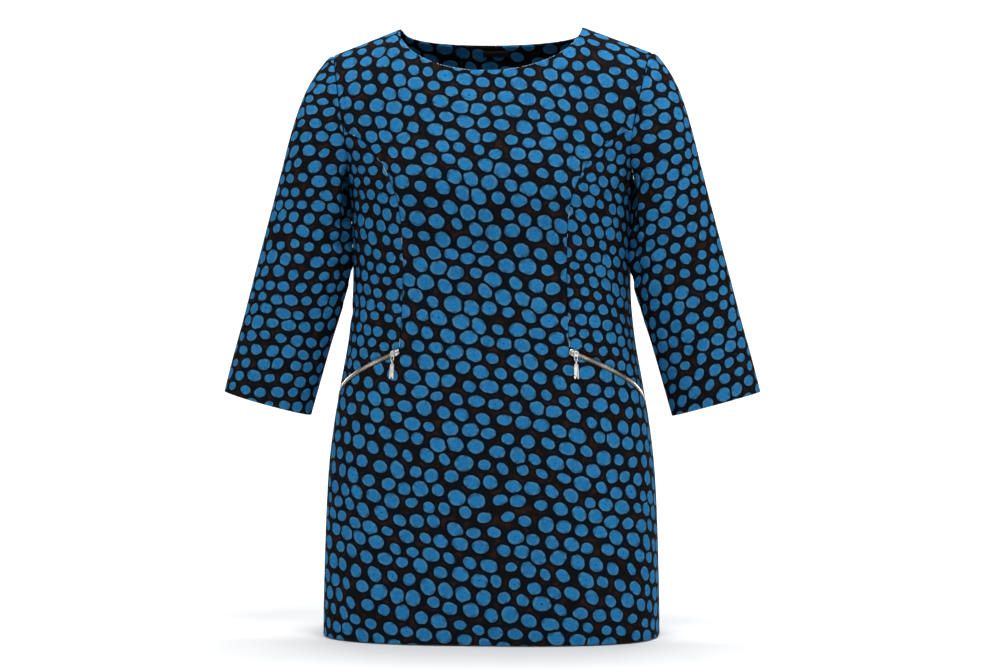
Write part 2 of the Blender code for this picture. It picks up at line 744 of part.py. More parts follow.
def make_slider(name, sign, metal, collection, cutters):
    """The slider's top plate, wider at its inner end, with the crown that holds the pull."""
    centre, normal, along, _ = zip_frame(sign)
    body = bmesh.new()
    bmesh.ops.create_cube(body, size=1.0)
    for vert in body.verts:
        width = SLIDER_OUTER_WIDTH if vert.co.x > 0 else SLIDER_INNER_WIDTH
        height = SLIDER_TOP if vert.co.z > 0 else SLIDER_BOTTOM
        vert.co = (vert.co.x * SLIDER_LENGTH, vert.co.y * width, height)
    mesh = bpy.data.meshes.new(name)
    body.to_mesh(mesh)
    body.free()
    slider = new_object(name, mesh, metal, collection)
    place = axes_matrix(centre, along, normal.cross(along), normal)
    slider.matrix_world = place
    bevel = slider.modifiers.new("rounded edges", "BEVEL")
    bevel.width = SLIDER_BEVEL
    bevel.segments = 2
    outer = POST_OFFSET + POST_HALF
    inner = POST_OFFSET - POST_SPACING - POST_HALF
    foot = (SLIDER_TOP + SLIDER_BOTTOM) / 2
    corner = (CROWN_TOP - CROWN_BOTTOM) * CROWN_CORNER
    bend = CROWN_TOP - corner
    staple = [(outer, foot), *arc(outer - corner, bend, corner, 0.0, math.pi / 2, 4)]
    staple += arc(inner + corner, bend, corner, math.pi / 2, math.pi, 4)
    staple += [(inner, foot), (inner + 2 * POST_HALF, foot), (inner + 2 * POST_HALF, CROWN_BOTTOM)]
    staple += [(outer - 2 * POST_HALF, CROWN_BOTTOM), (outer - 2 * POST_HALF, foot)]
    crown = plate(name + "_crown", [staple], CROWN_WIDTH, cutters)
    crown.matrix_world = place @ Matrix.Rotation(math.pi / 2, 4, "X")
    join_with(slider, [crown])


def pull_frame(sign):
    """The swing axis' foot on the cloth, then the pull's own directions: across, up and out."""
    centre, normal, along, down = zip_frame(sign)
    up = -down
    return centre + POST_OFFSET * along, up.cross(normal), up, normal


def make_pull_link(name, sign, metal, collection):
    """The flat link: its eye turns on the crown's post and its lower bar carries the pull."""
    origin, across, up, normal = pull_frame(sign)
    half = LINK_WIDTH / 2
    end = PIN_DISTANCE + PIN_HALF_WIDTH
    shoulder = math.asin(half / LINK_HEAD_RADIUS)
    head = arc(0.0, 0.0, LINK_HEAD_RADIUS, shoulder - math.pi / 2, 3 * math.pi / 2 - shoulder, 16)
    outline = head + [(-half, -end + PIN_HALF_WIDTH), (-half + PIN_HALF_WIDTH, -end)]
    outline += [(half - PIN_HALF_WIDTH, -end), (half, -end + PIN_HALF_WIDTH)]
    eye = arc(0.0, 0.0, LINK_EYE_RADIUS, 0.0, 2 * math.pi, 16)[:-1]
    side = LINK_WINDOW_WIDTH / 2
    sill = -PIN_DISTANCE + PIN_HALF_WIDTH
    window = [(side, sill), *arc(0.0, -LINK_WINDOW_TOP - side, side, 0.0, math.pi, 8), (-side, sill)]
    link = plate(name, [outline, eye, window], LINK_TOP - LINK_BOTTOM, collection)
    link.data.materials.append(metal)
    link.data.transform(Matrix.Translation((0.0, 0.0, (LINK_TOP + LINK_BOTTOM) / 2)))
    link.matrix_world = axes_matrix(origin, across, up, normal)


def make_pull_bar(name, sign, metal, collection, cutters):
    """The long pull: a knuckle round the link's lower bar and a web between two tapered ribs."""
    origin, across, up, normal = pull_frame(sign)
    pin = origin - PIN_DISTANCE * up + (LINK_TOP + LINK_BOTTOM) / 2 * normal
    place = axes_matrix(pin, across, up, normal)
    neck = KNUCKLE_WIDTH / 2 - BAR_NECK_INSET
    root = KNUCKLE_INNER_RADIUS + BAR_NECK_ROOT
    top = BAR_TOP_WIDTH / 2
    foot = BAR_BOTTOM_WIDTH / 2
    rib = BAR_RIB_BOTTOM_RADIUS
    outline = [(neck, -root), (-neck, -root)]
    shoulder = -BAR_START - BAR_RIB_TOP_RADIUS / 2
    outline += [(-neck, shoulder), (-top + BAR_RIB_TOP_RADIUS, shoulder)]
    outline += [(-foot + rib, -BAR_LENGTH + rib), (0.0, -BAR_LENGTH + rib + BAR_NOTCH)]
    outline += [(foot - rib, -BAR_LENGTH + rib), (top - BAR_RIB_TOP_RADIUS, shoulder), (neck, shoulder)]
    bar = plate(name, [outline], BAR_WEB_THICKNESS, collection)
    bar.data.materials.append(metal)
    bar.matrix_world = place
    ring = arc(0.0, 0.0, KNUCKLE_OUTER_RADIUS, 0.0, 2 * math.pi, 16)[:-1]
    hole = arc(0.0, 0.0, KNUCKLE_INNER_RADIUS, 0.0, 2 * math.pi, 16)[:-1]
    knuckle = plate(name + "_knuckle", [ring, hole], KNUCKLE_WIDTH, cutters)
    knuckle.matrix_world = place @ Matrix.Rotation(math.pi / 2, 4, "Y")
    ribs = [make_rib(name + "_rib", side, place, cutters) for side in (-1, 1)]
    join_with(bar, [knuckle, *ribs])


def make_rib(name, side, place, cutters):
    """One rounded rib: a tapered rod with domed ends down one edge of the pull."""
    top = (side * (BAR_TOP_WIDTH / 2 - BAR_RIB_TOP_RADIUS), -BAR_START)
    foot = (side * (BAR_BOTTOM_WIDTH / 2 - BAR_RIB_BOTTOM_RADIUS), -BAR_LENGTH)
    curve = bpy.data.curves.new(name, "CURVE")
    curve.dimensions = "3D"
    curve.bevel_depth = 1.0
    curve.bevel_resolution = 1
    curve.use_fill_caps = True
    spline = curve.splines.new("POLY")
    spline.points.add(len(RIB_PROFILE) - 1)
    for point, (share, fullness) in zip(spline.points, RIB_PROFILE):
        point.co = (blend(top[0], foot[0], share), blend(top[1], foot[1], share), 0.0, 1.0)
        point.radius = blend(BAR_RIB_TOP_RADIUS, BAR_RIB_BOTTOM_RADIUS, share) * fullness
    rod = bpy.data.objects.new(name, curve)
    cutters.objects.link(rod)
    graph = bpy.context.evaluated_depsgraph_get()
    mesh = bpy.data.meshes.new_from_object(rod.evaluated_get(graph))
    bpy.data.objects.remove(rod)
    bpy.data.curves.remove(curve)
    weld(mesh)
    rib = bpy.data.objects.new(name, mesh)
    cutters.objects.link(rib)
    rib.matrix_world = place
    return rib


def new_collection(name):
    collection = bpy.data.collections.new(name)
    bpy.context.scene.collection.children.link(collection)
    return collection


def main():
    for obj in list(bpy.data.objects):
        bpy.data.objects.remove(obj)
    dress = new_collection("shift_dress")
    cutters = new_collection("cutters")
    cutters.hide_render = True
    knit = new_material("printed knit", KNIT_BLUE, 0.85)
    facing = new_material("printed knit facing", FACING_BLUE, 0.9)
    label = new_material("woven label", LABEL_BLACK, 0.8)
    tape = new_material("woven zip tape", TAPE_BLACK, 0.85)
    teeth = new_material("antique metal teeth", CHAIN_METAL, 0.45, 1.0)
    metal = new_material("polished slider metal", SLIDER_METAL, 0.25, 1.0)

    make_front_panel(knit, dress)
    make_back_neck_facing(facing, dress)
    make_neck_label(label, dress)
    for side, sign in (("left", 1), ("right", -1)):
        make_side_front("side_front_" + side, sign, knit, dress)
        make_back("back_" + side, sign, knit, dress)
        make_sleeve("sleeve_" + side, sign, knit, dress)
        make_zip_tape("zip_tape_" + side, sign, tape, dress)
        make_zip_chain("zip_chain_" + side, sign, teeth, dress)
        make_slider("slider_" + side, sign, metal, dress, cutters)
        make_pull_link("pull_link_" + side, sign, metal, dress)
        make_pull_bar("pull_bar_" + side, sign, metal, dress, cutters)


main()
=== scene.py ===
"""Looks of the knitted shift dress: cloth shells with their folds, the dotted print, zips and stage.

Metres, +Z up, front facing -Y, wearer's left on +X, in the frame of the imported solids. The cloth
shells are laid on the same body sections, neckline, armholes and sleeve rings as the solids, at a
finer step, with seams that sink in, turned hems and soft creases.
"""

import functools
import math

import bmesh
import bpy
import numpy as np
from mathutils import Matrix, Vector, kdtree


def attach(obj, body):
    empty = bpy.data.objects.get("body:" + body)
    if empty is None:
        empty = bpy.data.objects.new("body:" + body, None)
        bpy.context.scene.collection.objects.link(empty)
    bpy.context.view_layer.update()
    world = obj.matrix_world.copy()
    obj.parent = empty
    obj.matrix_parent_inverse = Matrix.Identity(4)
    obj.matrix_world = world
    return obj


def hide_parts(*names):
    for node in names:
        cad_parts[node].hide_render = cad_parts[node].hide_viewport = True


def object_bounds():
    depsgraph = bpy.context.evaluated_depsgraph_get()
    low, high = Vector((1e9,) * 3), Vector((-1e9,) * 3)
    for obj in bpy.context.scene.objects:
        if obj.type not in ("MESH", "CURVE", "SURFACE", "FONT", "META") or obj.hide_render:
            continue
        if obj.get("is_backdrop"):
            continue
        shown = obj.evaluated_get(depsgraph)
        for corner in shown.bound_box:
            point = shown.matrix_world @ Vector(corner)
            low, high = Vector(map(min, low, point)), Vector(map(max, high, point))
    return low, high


bl_info = {
    "name": "Shift Dress",
    "version": (1, 0, 0),
    "blender": (4, 5, 0),
    "location": "3D View > Sidebar > Dress",
    "description": "Lays the cloth, print, zips and stage of a knitted shift dress",
    "category": "Object",
}

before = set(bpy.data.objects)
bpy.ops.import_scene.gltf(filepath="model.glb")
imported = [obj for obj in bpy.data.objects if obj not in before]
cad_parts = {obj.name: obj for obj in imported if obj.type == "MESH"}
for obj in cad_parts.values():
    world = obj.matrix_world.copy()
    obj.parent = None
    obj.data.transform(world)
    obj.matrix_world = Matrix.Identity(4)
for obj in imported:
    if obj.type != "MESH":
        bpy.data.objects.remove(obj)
CAD_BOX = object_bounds()

FRONT = -1
BACK = 1
# Gaps between neighbouring pieces
SEAM = 0.0004
ARMHOLE_GAP = 0.0005

# Heights on the body
HEM = -0.845
UNDERARM = -0.222
CHEST = -0.150

# Horizontal sections of the worn dress
# height, half width, front depth, back depth, squareness
BODY_SECTIONS = (
    (-0.845, 0.2340, 0.1560, 0.1390, 2.75),
    (-0.773, 0.2332, 0.1552, 0.1410, 2.70),
    (-0.717, 0.2318, 0.1545, 0.1425, 2.65),
    (-0.661, 0.2298, 0.1535, 0.1430, 2.60),
    (-0.605, 0.2262, 0.1520, 0.1430, 2.60),
    (-0.549, 0.2193, 0.1495, 0.1400, 2.55),
    (-0.493, 0.2100, 0.1455, 0.1320, 2.50),
    (-0.437, 0.2002, 0.1405, 0.1210, 2.45),
    (-0.381, 0.1946, 0.1365, 0.1110, 2.40),
    (-0.340, 0.1938, 0.1355, 0.1080, 2.40),
    (-0.300, 0.1945, 0.1385, 0.1090, 2.40),
    (-0.260, 0.1962, 0.1435, 0.1135, 2.40),
    (-0.222, 0.2000, 0.1445, 0.1180, 2.40),
    (-0.190, 0.2080, 0.1365, 0.1190, 2.40),
    (-0.150, 0.2290, 0.1210, 0.1160, 2.40),
    (-0.110, 0.2520, 0.1050, 0.1080, 2.40),
)
BUST_HALF_SPACING = 0.092
BUST_HEIGHT = -0.226
BUST_FULLNESS = 0.007
BUST_RADIUS_ACROSS = 0.060
BUST_RADIUS_UP = 0.055

# Armhole, neckline and shoulder
ARMHOLE_INSET = {FRONT: 0.072, BACK: 0.066}
NECK_HALF_WIDTH = 0.127
NECK_DROP = {FRONT: 0.068, BACK: 0.0155}
NECK_REACH = {FRONT: 0.085, BACK: 0.064}
NECK_SHAPE = {FRONT: 1.0, BACK: 0.8}
NECK_ROLL = 0.5
NECK_LEAN = {FRONT: math.radians(24), BACK: math.radians(38)}
NECK_SHARE = 8 / 11
NECK_CROWDING = 1.5
NECK_SPREAD = -0.10
RIDGE_Y = 0.002
SHOULDER_TIP_X = 0.224
SHOULDER_TIP_Z = -0.0365
SHOULDER_ROUND = {FRONT: 0.92, BACK: 1.15}
SHOULDER_SPREAD = 0.12

# Front seam over the bust; below the zip it is only a line that the panel is laid out by
# height, distance from the centre
PRINCESS_SEAM = (
    (-0.845, 0.1180),
    (-0.660, 0.1180),
    (-0.480, 0.1165),
    (-0.452, 0.1155),
    (-0.400, 0.1130),
    (-0.350, 0.1120),
    (-0.300, 0.1125),
    (-0.270, 0.1145),
    (-0.250, 0.1180),
    (-0.232, 0.1235),
    (-0.215, 0.1305),
    (-0.199, 0.1395),
    (-0.184, 0.1510),
    (-0.172, 0.1620),
    (-0.161, 0.1755),
    (-0.150, 0.1960),
)

# Slanted zip, from the front seam down to the side seam
ZIP_INNER_HEIGHT = -0.4520
ZIP_OUTER_HEIGHT = -0.5260
ZIP_BOW = 0.0030
ZIP_SLOT = 0.0068

# Sleeve rings: the outer and inner points of the silhouette seen from the front
# outer x, outer z, inner x, inner z, half depth, centre y, armhole share
SLEEVE_RINGS = (
    (0.2245, -0.0365, 0.2005, -0.2220, 0.0690, -0.0030, 1.00),
    (0.2300, -0.0392, 0.2006, -0.2280, 0.0690, -0.0030, 0.93),
    (0.2375, -0.0480, 0.2003, -0.2340, 0.0685, -0.0032, 0.78),
    (0.2475, -0.0620, 0.1994, -0.2410, 0.0680, -0.0055, 0.58),
    (0.2600, -0.0860, 0.1981, -0.2500, 0.0665, -0.0100, 0.30),
    (0.2700, -0.1130, 0.1970, -0.2590, 0.0650, -0.0145, 0.12),
    (0.2800, -0.1480, 0.1962, -0.2680, 0.0635, -0.0200, 0.03),
    (0.2915, -0.1945, 0.1957, -0.2800, 0.0610, -0.0225, 0.00),
    (0.3030, -0.2400, 0.1951, -0.2980, 0.0585, -0.0245, 0.00),
    (0.3180, -0.2975, 0.1948, -0.3310, 0.0565, -0.0260, 0.00),
    (0.3320, -0.3510, 0.2060, -0.3853, 0.0550, -0.0265, 0.00),
    (0.3470, -0.4090, 0.2236, -0.4430, 0.0530, -0.0265, 0.00),
    (0.3625, -0.4650, 0.2396, -0.4988, 0.0510, -0.0265, 0.00),
    (0.3735, -0.5080, 0.2517, -0.5415, 0.0500, -0.0265, 0.00),
)

# Creases of the body, placed on the pattern: soft troughs with a raised lip on both sides
# side, along from the centre, height, tilt in degrees, half length, half width, depth
BODY_CREASES = (
    (FRONT, 0.196, -0.236, 28, 0.050, 0.0070, 0.0022),
    (FRONT, 0.188, -0.262, 14, 0.042, 0.0060, 0.0014),
    (FRONT, -0.198, -0.240, -24, 0.046, 0.0065, 0.0020),
    (FRONT, -0.184, -0.270, -12, 0.040, 0.0060, 0.0012),
    (FRONT, 0.060, -0.262, 8, 0.045, 0.0110, 0.0012),
    (FRONT, -0.070, -0.258, -6, 0.050, 0.0110, 0.0014),
    (FRONT, 0.150, -0.356, -9, 0.060, 0.0100, 0.0012),
    (FRONT, -0.160, -0.372, 8, 0.055, 0.0100, 0.0013),
    (FRONT, 0.225, -0.402, -14, 0.050, 0.0080, 0.0015),
    (FRONT, -0.228, -0.395, 12, 0.048, 0.0080, 0.0016),
    (FRONT, 0.050, -0.640, 84, 0.140, 0.0220, 0.0016),
    (FRONT, -0.120, -0.690, 95, 0.130, 0.0240, 0.0018),
    (FRONT, 0.185, -0.730, 88, 0.110, 0.0200, 0.0016),
    (FRONT, -0.215, -0.700, 92, 0.120, 0.0200, 0.0015),
    (BACK, 0.190, -0.232, 24, 0.052, 0.0075, 0.0024),
    (BACK, -0.186, -0.238, -26, 0.050, 0.0070, 0.0022),
    (BACK, 0.120, -0.352, 7, 0.075, 0.0090, 0.0024),
    (BACK, -0.105, -0.378, -8, 0.070, 0.0095, 0.0026),
    (BACK, 0.150, -0.398, 4, 0.060, 0.0085, 0.0018),
    (BACK, -0.165, -0.340, -4, 0.060, 0.0085, 0.0018),
    (BACK, 0.090, -0.690, 93, 0.140, 0.0230, 0.0020),
    (BACK, -0.140, -0.660, 86, 0.150, 0.0240, 0.0018),
    (BACK, 0.225, -0.740, 90, 0.110, 0.0200, 0.0015),
)

# Creases of the sleeves: place down the sleeve, turn round it (0 outer edge, 0.25 front, 0.5 body
# side, 0.75 back), tilt in degrees, half length and half width in metres, depth
SLEEVE_CREASES = (
    (0.13, 0.330, 62, 0.045, 0.0060, 0.0024),
    (0.20, 0.400, 55, 0.050, 0.0065, 0.0028),
    (0.17, 0.690, -60, 0.048, 0.0065, 0.0026),
    (0.28, 0.445, 40, 0.042, 0.0070, 0.0022),
    (0.47, 0.420, 16, 0.046, 0.0075, 0.0030),
    (0.54, 0.380, 8, 0.052, 0.0080, 0.0034),
    (0.61, 0.440, -6, 0.050, 0.0075, 0.0030),
    (0.69, 0.400, -14, 0.044, 0.0080, 0.0024),
    (0.51, 0.630, -12, 0.048, 0.0075, 0.0030),
    (0.58, 0.600, -4, 0.050, 0.0080, 0.0030),
    (0.66, 0.640, 10, 0.046, 0.0080, 0.0026),
    (0.16, 0.425, 88, 0.070, 0.0150, 0.0060),
    (0.38, 0.432, 90, 0.085, 0.0150, 0.0060),
    (0.60, 0.440, 92, 0.060, 0.0150, 0.0034),
    (0.30, 0.580, 90, 0.120, 0.0150, 0.0040),
    (0.46, 0.500, 90, 0.085, 0.0300, -0.0036),
    (0.84, 0.300, 72, 0.060, 0.0120, 0.0014),
    (0.82, 0.700, 76, 0.060, 0.0120, 0.0016),
)
# The lip beside a trough: its height as a share of the trough's depth, and its place in half widths
CREASE_LIP = 0.30
CREASE_LIP_PLACE = 1.9
# Half a sleeve's girth, which turns a crease's place round the sleeve into metres, and how much
# higher the right sleeve's creases lie, so that the two sleeves aren't mirror images
CREASE_HALF_GIRTH = 0.19
RIGHT_CREASE_LIFT = 0.006

# Rough lengths of the pieces, which set how many mesh steps run along each
CENTRE_HALF_WIDTH = 0.125
SLOT_LENGTH = 0.170
SKIRT_HEIGHT = 0.370
BODICE_HEIGHT = 0.30
SIDE_FRONT_WIDTH = 0.150
SIDE_SEAM_ABOVE_ZIP = 0.28
BACK_HALF_WIDTH = 0.28
SIDE_SEAM_HEIGHT = 0.622
YOKE_HEIGHT = 0.17
SCOOP_LENGTH = 0.105
SLEEVE_GIRTH = 0.40
SLEEVE_LENGTH = 0.49

# Rows just under the yoke that are laid flat together with it, and the sleeve's last rows at the
# cuff, which keep their pattern as it is
FRONT_ROWS_LAID_FLAT = 14
BACK_ROWS_LAID_FLAT = 24
CUFF_ROWS_LEFT = 8
# The top rows of a side front, where its bust seam has already met the armhole
BUST_SEAM_END_ROWS = 8
# How far below chest height the top row of a side front starts and ends
TOP_ROW_START = 0.0002
TOP_ROW_END = 0.0003

WELD = 0.00002
SEAM_SPACING = 0.0008
# How long the half round of a turned edge is, in depths of the edge
HALF_ROUND_LENGTH = 1.6

# Mesh of the small pieces: rows, and points in a row
FACING_GRID = (24, 46)
LABEL_GRID = (9, 25)
TAPE_GRID = (19, 70)

# Cloth walls that aren't the printed knit's, and the air between layers
FACING_THICKNESS = 0.0008
LABEL_THICKNESS = 0.0004
TAPE_THICKNESS = 0.0006
AIR_BEHIND_BACK = 0.0002
AIR_BEHIND_FACING = 0.0006
AIR_BEHIND_SLOT = 0.0003
# How far the label stands off at its middle, and its half width as a share of the yoke
LABEL_PUFF = 0.0005
LABEL_HALF_SHARE = 0.047

# How far the tape reaches past the slot above and below, and past its start as a share of the zip
TAPE_LAP = 0.010
TAPE_END = 0.06
# The slider's distance from the zip's start, and how far ahead of it lies the place it points to
SLIDER_FROM_END = 0.0065
SLIDER_HEADING = 0.04

# Teeth stand this far from the chain's ends, and each leans along the line between two places
# this share of the zip ahead and behind
CHAIN_END = 0.0015
TOOTH_HEADING = 0.01
# What a tooth narrows towards at its top, measured from the centre line
TOOTH_MIDDLE = 0.0013

# One tooth seen from above: how far it reaches from the zip's centre line, and along the zip
TOOTH_OUTLINE = (
    (0.0029, 0.00045),
    (0.0012, 0.00055),
    (0.0002, 0.00072),
    (-0.0006, 0.00050),
    (-0.0009, 0.0),
    (-0.0006, -0.00050),
    (0.0002, -0.00072),
    (0.0012, -0.00055),
    (0.0029, -0.00045),
)
# height above the cloth's face, fullness
TOOTH_LEVELS = ((-0.0026, 1.0), (0.0001, 1.0), (0.0005, 0.74))
# One stitch: share of its length, rise in radii, fullness
STITCH_SHAPE = ((0.0, -1.2, 0.6), (0.2, 0.2, 1.0), (0.5, 0.7, 1.0), (0.8, 0.2, 1.0), (1.0, -1.2, 0.6))
# Thread radii, how far a seam's thread lies in it, and the neckline's stitches with their gaps
LABEL_THREAD = 0.00016
SEAM_THREAD = 0.00036
NECK_THREAD = 0.00030
THREAD_SINK = 0.0004
NECK_STITCH = 0.0046
NECK_STITCH_SHARE = 0.92
NECK_STITCH_LIFT = (0.0, -0.45, 0.89)

# Where the camera looks: its height, and how far right of the dress's centre line; and its lens
EYE_HEIGHT = -0.431
EYE_OFFSET = 0.0168
SENSOR_WIDTH = 36.0
LENS = 88.0

# Lights: name, place, what it faces, width, height, and the property that holds its power
LIGHTS = (
    ("front softbox", (0.22, -1.05, 1.4), (0.0, 0.0, 0.0), 1.2, 0.7, "key"),
    # The pulls' flat faces mirror these two cards
    ("side card", (-2.5, -2.7, 0.2), (0.0, 0.0, -0.42), 1.6, 2.0, "card"),
    ("side card", (2.5, -2.7, 0.2), (0.0, 0.0, -0.42), 1.6, 2.0, "card"),
    ("top softbox", (0.0, -0.5, 2.2), (0.0, 0.1, -0.40), 2.2, 1.4, "top"),
    ("side strip", (-2.3, -0.5, 0.1), (0.0, 0.0, -0.40), 0.6, 1.8, "side"),
    ("side strip", (2.3, -0.5, 0.1), (0.0, 0.0, -0.40), 0.6, 1.8, "side"),
    ("paper light", (0.0, 1.1, 2.9), (0.0, 3.4, 0.3), 5.0, 1.6, "paper"),
)

# The paper: how far under the hem, where it starts and begins to rise, its curve, top and half width
PAPER_DROP = 0.0015
PAPER_FRONT = -1.6
PAPER_BEND = 2.0
PAPER_RADIUS = 1.6
PAPER_TOP = 6.0
PAPER_HALF_WIDTH = 2.3

# The print is laid flat on a coarse grid first, whose lengths are evened out this many times
FLATTEN_STEP = 0.012
FLATTEN_ROUNDS = 3000

# Back neck facing and label, as shares of the back yoke: across from the centre, and up
FACING_END = 9 / 11
FACING_START = 0.477
FACING_TOP = 0.9943
LABEL_START = 0.8795
LABEL_END = 0.9407

# How each cut piece lies on the printed cloth: shift along and up in metres, and how much smaller
# the dots are there than on the front
PRINT_LAY = {
    "front_panel": (0.000, 0.000, 1.00),
    "side_front_left": (0.0110, 0.0065, 1.20),
    "side_front_right": (-0.0140, 0.0125, 1.18),
    "back_left": (0.3070, 0.0040, 1.00),
    "back_right": (-0.2890, 0.0130, 1.00),
    "sleeve_left": (0.8120, 0.0090, 1.12),
    "sleeve_right": (-0.7610, 0.0170, 1.14),
    "back_neck_facing": (0.5230, 0.1060, 0.96),
}

# Pale thread along the bust seams, partly thread showing where a seam stretches and partly painted
# highlight for the gleams on the seam's edges: side, height, length
SEAM_HIGHLIGHT_THREADS = (
    (-1, -0.2060, 0.0110),
    (-1, -0.3020, 0.0100),
    (-1, -0.3270, 0.0060),
    (-1, -0.4400, 0.0120),
    (1, -0.2680, 0.0110),
    (1, -0.2960, 0.0050),
    (1, -0.4090, 0.0080),
    (1, -0.4410, 0.0110),
)
# Where pale thread lies along the front neckline as a painted highlight on its turned edge: from and to,
# measured from the centre
NECK_HIGHLIGHT_THREADS = (
    (-0.118, -0.105),
    (-0.096, -0.076),
    (-0.070, -0.044),
    (-0.041, -0.023),
    (-0.010, -0.003),
    (0.026, 0.044),
    (0.048, 0.069),
    (0.075, 0.093),
    (0.098, 0.107),
    (0.113, 0.121),
)

# The slider from its inner end to its outer end: place along the zip, half width
SLIDER_OUTLINE = (
    (-0.0070, 0.0012),
    (-0.0064, 0.0024),
    (-0.0050, 0.0036),
    (-0.0030, 0.0045),
    (-0.0005, 0.0050),
    (0.0022, 0.0049),
    (0.0046, 0.0043),
    (0.0062, 0.0036),
    (0.0069, 0.0024),
    (0.0070, 0.0008),
)
# height above the cloth, fullness
SLIDER_LEVELS = ((0.0010, 0.92), (0.0013, 1.0), (0.0021, 1.0), (0.0026, 0.93), (0.0029, 0.78))
# The crown that the pull hangs from: place along the zip, height, half width
CROWN_PATH = (
    (0.0020, 0.0022, 0.00100),
    (0.0020, 0.0044, 0.00100),
    (0.0018, 0.0052, 0.00105),
    (0.0010, 0.0058, 0.00115),
    (-0.0010, 0.0060, 0.00125),
    (-0.0030, 0.0058, 0.00120),
    (-0.0044, 0.0051, 0.00110),
    (-0.0050, 0.0040, 0.00100),
    (-0.0052, 0.0022, 0.00100),
)
# The crown bar's thickness as a share of its width
CROWN_FLATNESS = 0.72
# Rounded metal edges: name, width, and the angle in degrees that they are sharper than
POLISHED = ("polished edges", 0.00025, 35)
TUMBLED = ("tumbled edges", 0.00022, 38)


def from_hex(code):
    """A colour picked as sRGB hex, as the linear values that Blender's colours hold."""
    channels = [int(code[i : i + 2], 16) / 255 for i in (1, 3, 5)]
    return tuple(c / 12.92 if c <= 0.04045 else ((c + 0.055) / 1.055) ** 2.4 for c in channels)


# --- sizes and colours that a user would change --------------------------------------------


def length_property(name, metres, description):
    return bpy.props.FloatProperty(
        name=name, description=description, default=metres, min=0.0, unit="LENGTH"
    )


def power_property(name, watts, description):
    return bpy.props.FloatProperty(
        name=name, description=description, default=watts, min=0.0, unit="POWER"
    )


def colour_property(name, code, description):
    return bpy.props.FloatVectorProperty(
        name=name, description=description, default=from_hex(code),
        size=3, min=0.0, max=1.0, subtype="COLOR",
    )


class ClothSizes(bpy.types.PropertyGroup):
    """Sizes of the knit and its sewing."""

    thickness: length_property("Cloth thickness", 0.0010, "Thickness of the double knit")
    step: length_property("Mesh step", 0.0048, "Distance between points of a cloth shell")
    seam_depth: length_property("Seam depth", 0.0016, "How far the cloth sinks in at a sewn seam")
    seam_width: length_property("Seam width", 0.0040, "Width over which the cloth turns down into a seam")
    hem_width: length_property("Hem width", 0.0300, "Width of the turned hem inside the skirt")
    cuff_width: length_property("Cuff hem width", 0.0220, "Width of the turned hem inside the sleeve")
    neck_turn: length_property("Neck turn", 0.0080, "Width that the front neckline turns inside")
    turn_depth: length_property("Turn depth", 0.0024, "Depth of a turned edge, from face to face")
    crease: bpy.props.FloatProperty(
        name="Creases", description="Depth of all creases, 1 as drawn", default=1.0
    )


class PrintSizes(bpy.types.PropertyGroup):
    """The printed dots."""

    pitch: length_property("Dot pitch", 0.0264, "Distance between dots in a row")
    row: length_property("Row pitch", 0.0211, "Distance between rows of dots")
    half_width: length_property("Dot half width", 0.0101, "Half width of a middling dot")
    half_height: length_property("Dot half height", 0.0081, "Half height of a middling dot")
    stray: length_property("Stray", 0.0052, "How far a dot may lie from its place in the rows")
    gap: length_property("Gap", 0.0034, "Least ground left between two dots")
    dot: colour_property("Dot", "#2379B4", "Printed blue of the dots")
    streak: colour_property("Streak", "#1D6AA3", "Darker brush streaks in the dots")
    rim: colour_property("Rim", "#457A9B", "Pale edge of each dot")
    halo: colour_property("Halo", "#05121F", "Navy ink that bleeds round each dot")
    ground: colour_property("Ground", "#141211", "Brown-black ground")


class TrimSizes(bpy.types.PropertyGroup):
    """Zips and metal."""

    tooth_pitch: length_property("Tooth pitch", 0.0024, "Distance between teeth of one row")
    teeth: colour_property("Teeth", "#D6CCBF", "Antique plated teeth")
    slider: colour_property("Slider", "#E4E2DE", "Polished slider and pull")
    tape: colour_property("Tape", "#101013", "Woven zip tape")


class StageSizes(bpy.types.PropertyGroup):
    """Floor, lights and camera."""

    floor: colour_property("Floor", "#F4F4F4", "Pale paper sweep")
    room: bpy.props.FloatProperty(
        name="Room light", description="Strength of the white room's light", default=0.05, min=0.0
    )
    key: power_property("Key light", 31.0, "Power of the front light")
    card: power_property("Side cards", 14.0, "Power of each dim card beside the camera")
    top: power_property("Top light", 12.0, "Power of the top light")
    side: power_property("Side lights", 9.0, "Power of each side light")
    paper: power_property("Paper light", 200.0, "Power of the paper's light")
    distance: length_property("Camera distance", 3.45, "Distance from the camera to the dress")
    azimuth: bpy.props.FloatProperty(
        name="Camera azimuth", description="Turn of the camera to the wearer's left",
        default=math.radians(4.6), subtype="ANGLE",
    )


# --- the body's surface --------------------------------------------------------------------


def table_curve(rows):
    """A smooth curve through a table: its first column gives the place, the others follow it."""
    table = np.array(rows)
    places = table[:, 0]
    values = table[:, 1:]
    slopes = np.gradient(values, places, axis=0)

    def at(place):
        i = int(np.clip(np.searchsorted(places, place) - 1, 0, len(places) - 2))
        step = places[i + 1] - places[i]
        t = (place - places[i]) / step
        return hermite(values[i], slopes[i] * step, values[i + 1], slopes[i + 1] * step, t)

    return at


def hermite(start, start_slope, end, end_slope, t):
    return (
        (2 * t**3 - 3 * t**2 + 1) * start
        + (t**3 - 2 * t**2 + t) * start_slope
        + (3 * t**2 - 2 * t**3) * end
        + (t**3 - t**2) * end_slope
    )


def blend(a, b, t):
    return a + (b - a) * t


def unit(vector):
    return vector / np.linalg.norm(vector)


def lengths_along(points, axis=0):
    """The length run so far along a line, or one way of a grid, at each of its points."""
    steps = np.linalg.norm(np.diff(points, axis=axis), axis=-1)
    start = np.zeros_like(steps.take([0], axis=axis))
    return np.concatenate([start, np.cumsum(steps, axis=axis)], axis=axis)


body_section = table_curve(BODY_SECTIONS)
princess_x = table_curve(PRINCESS_SEAM)
QUARTER_TURN = np.linspace(0.0, math.pi / 2, 241)


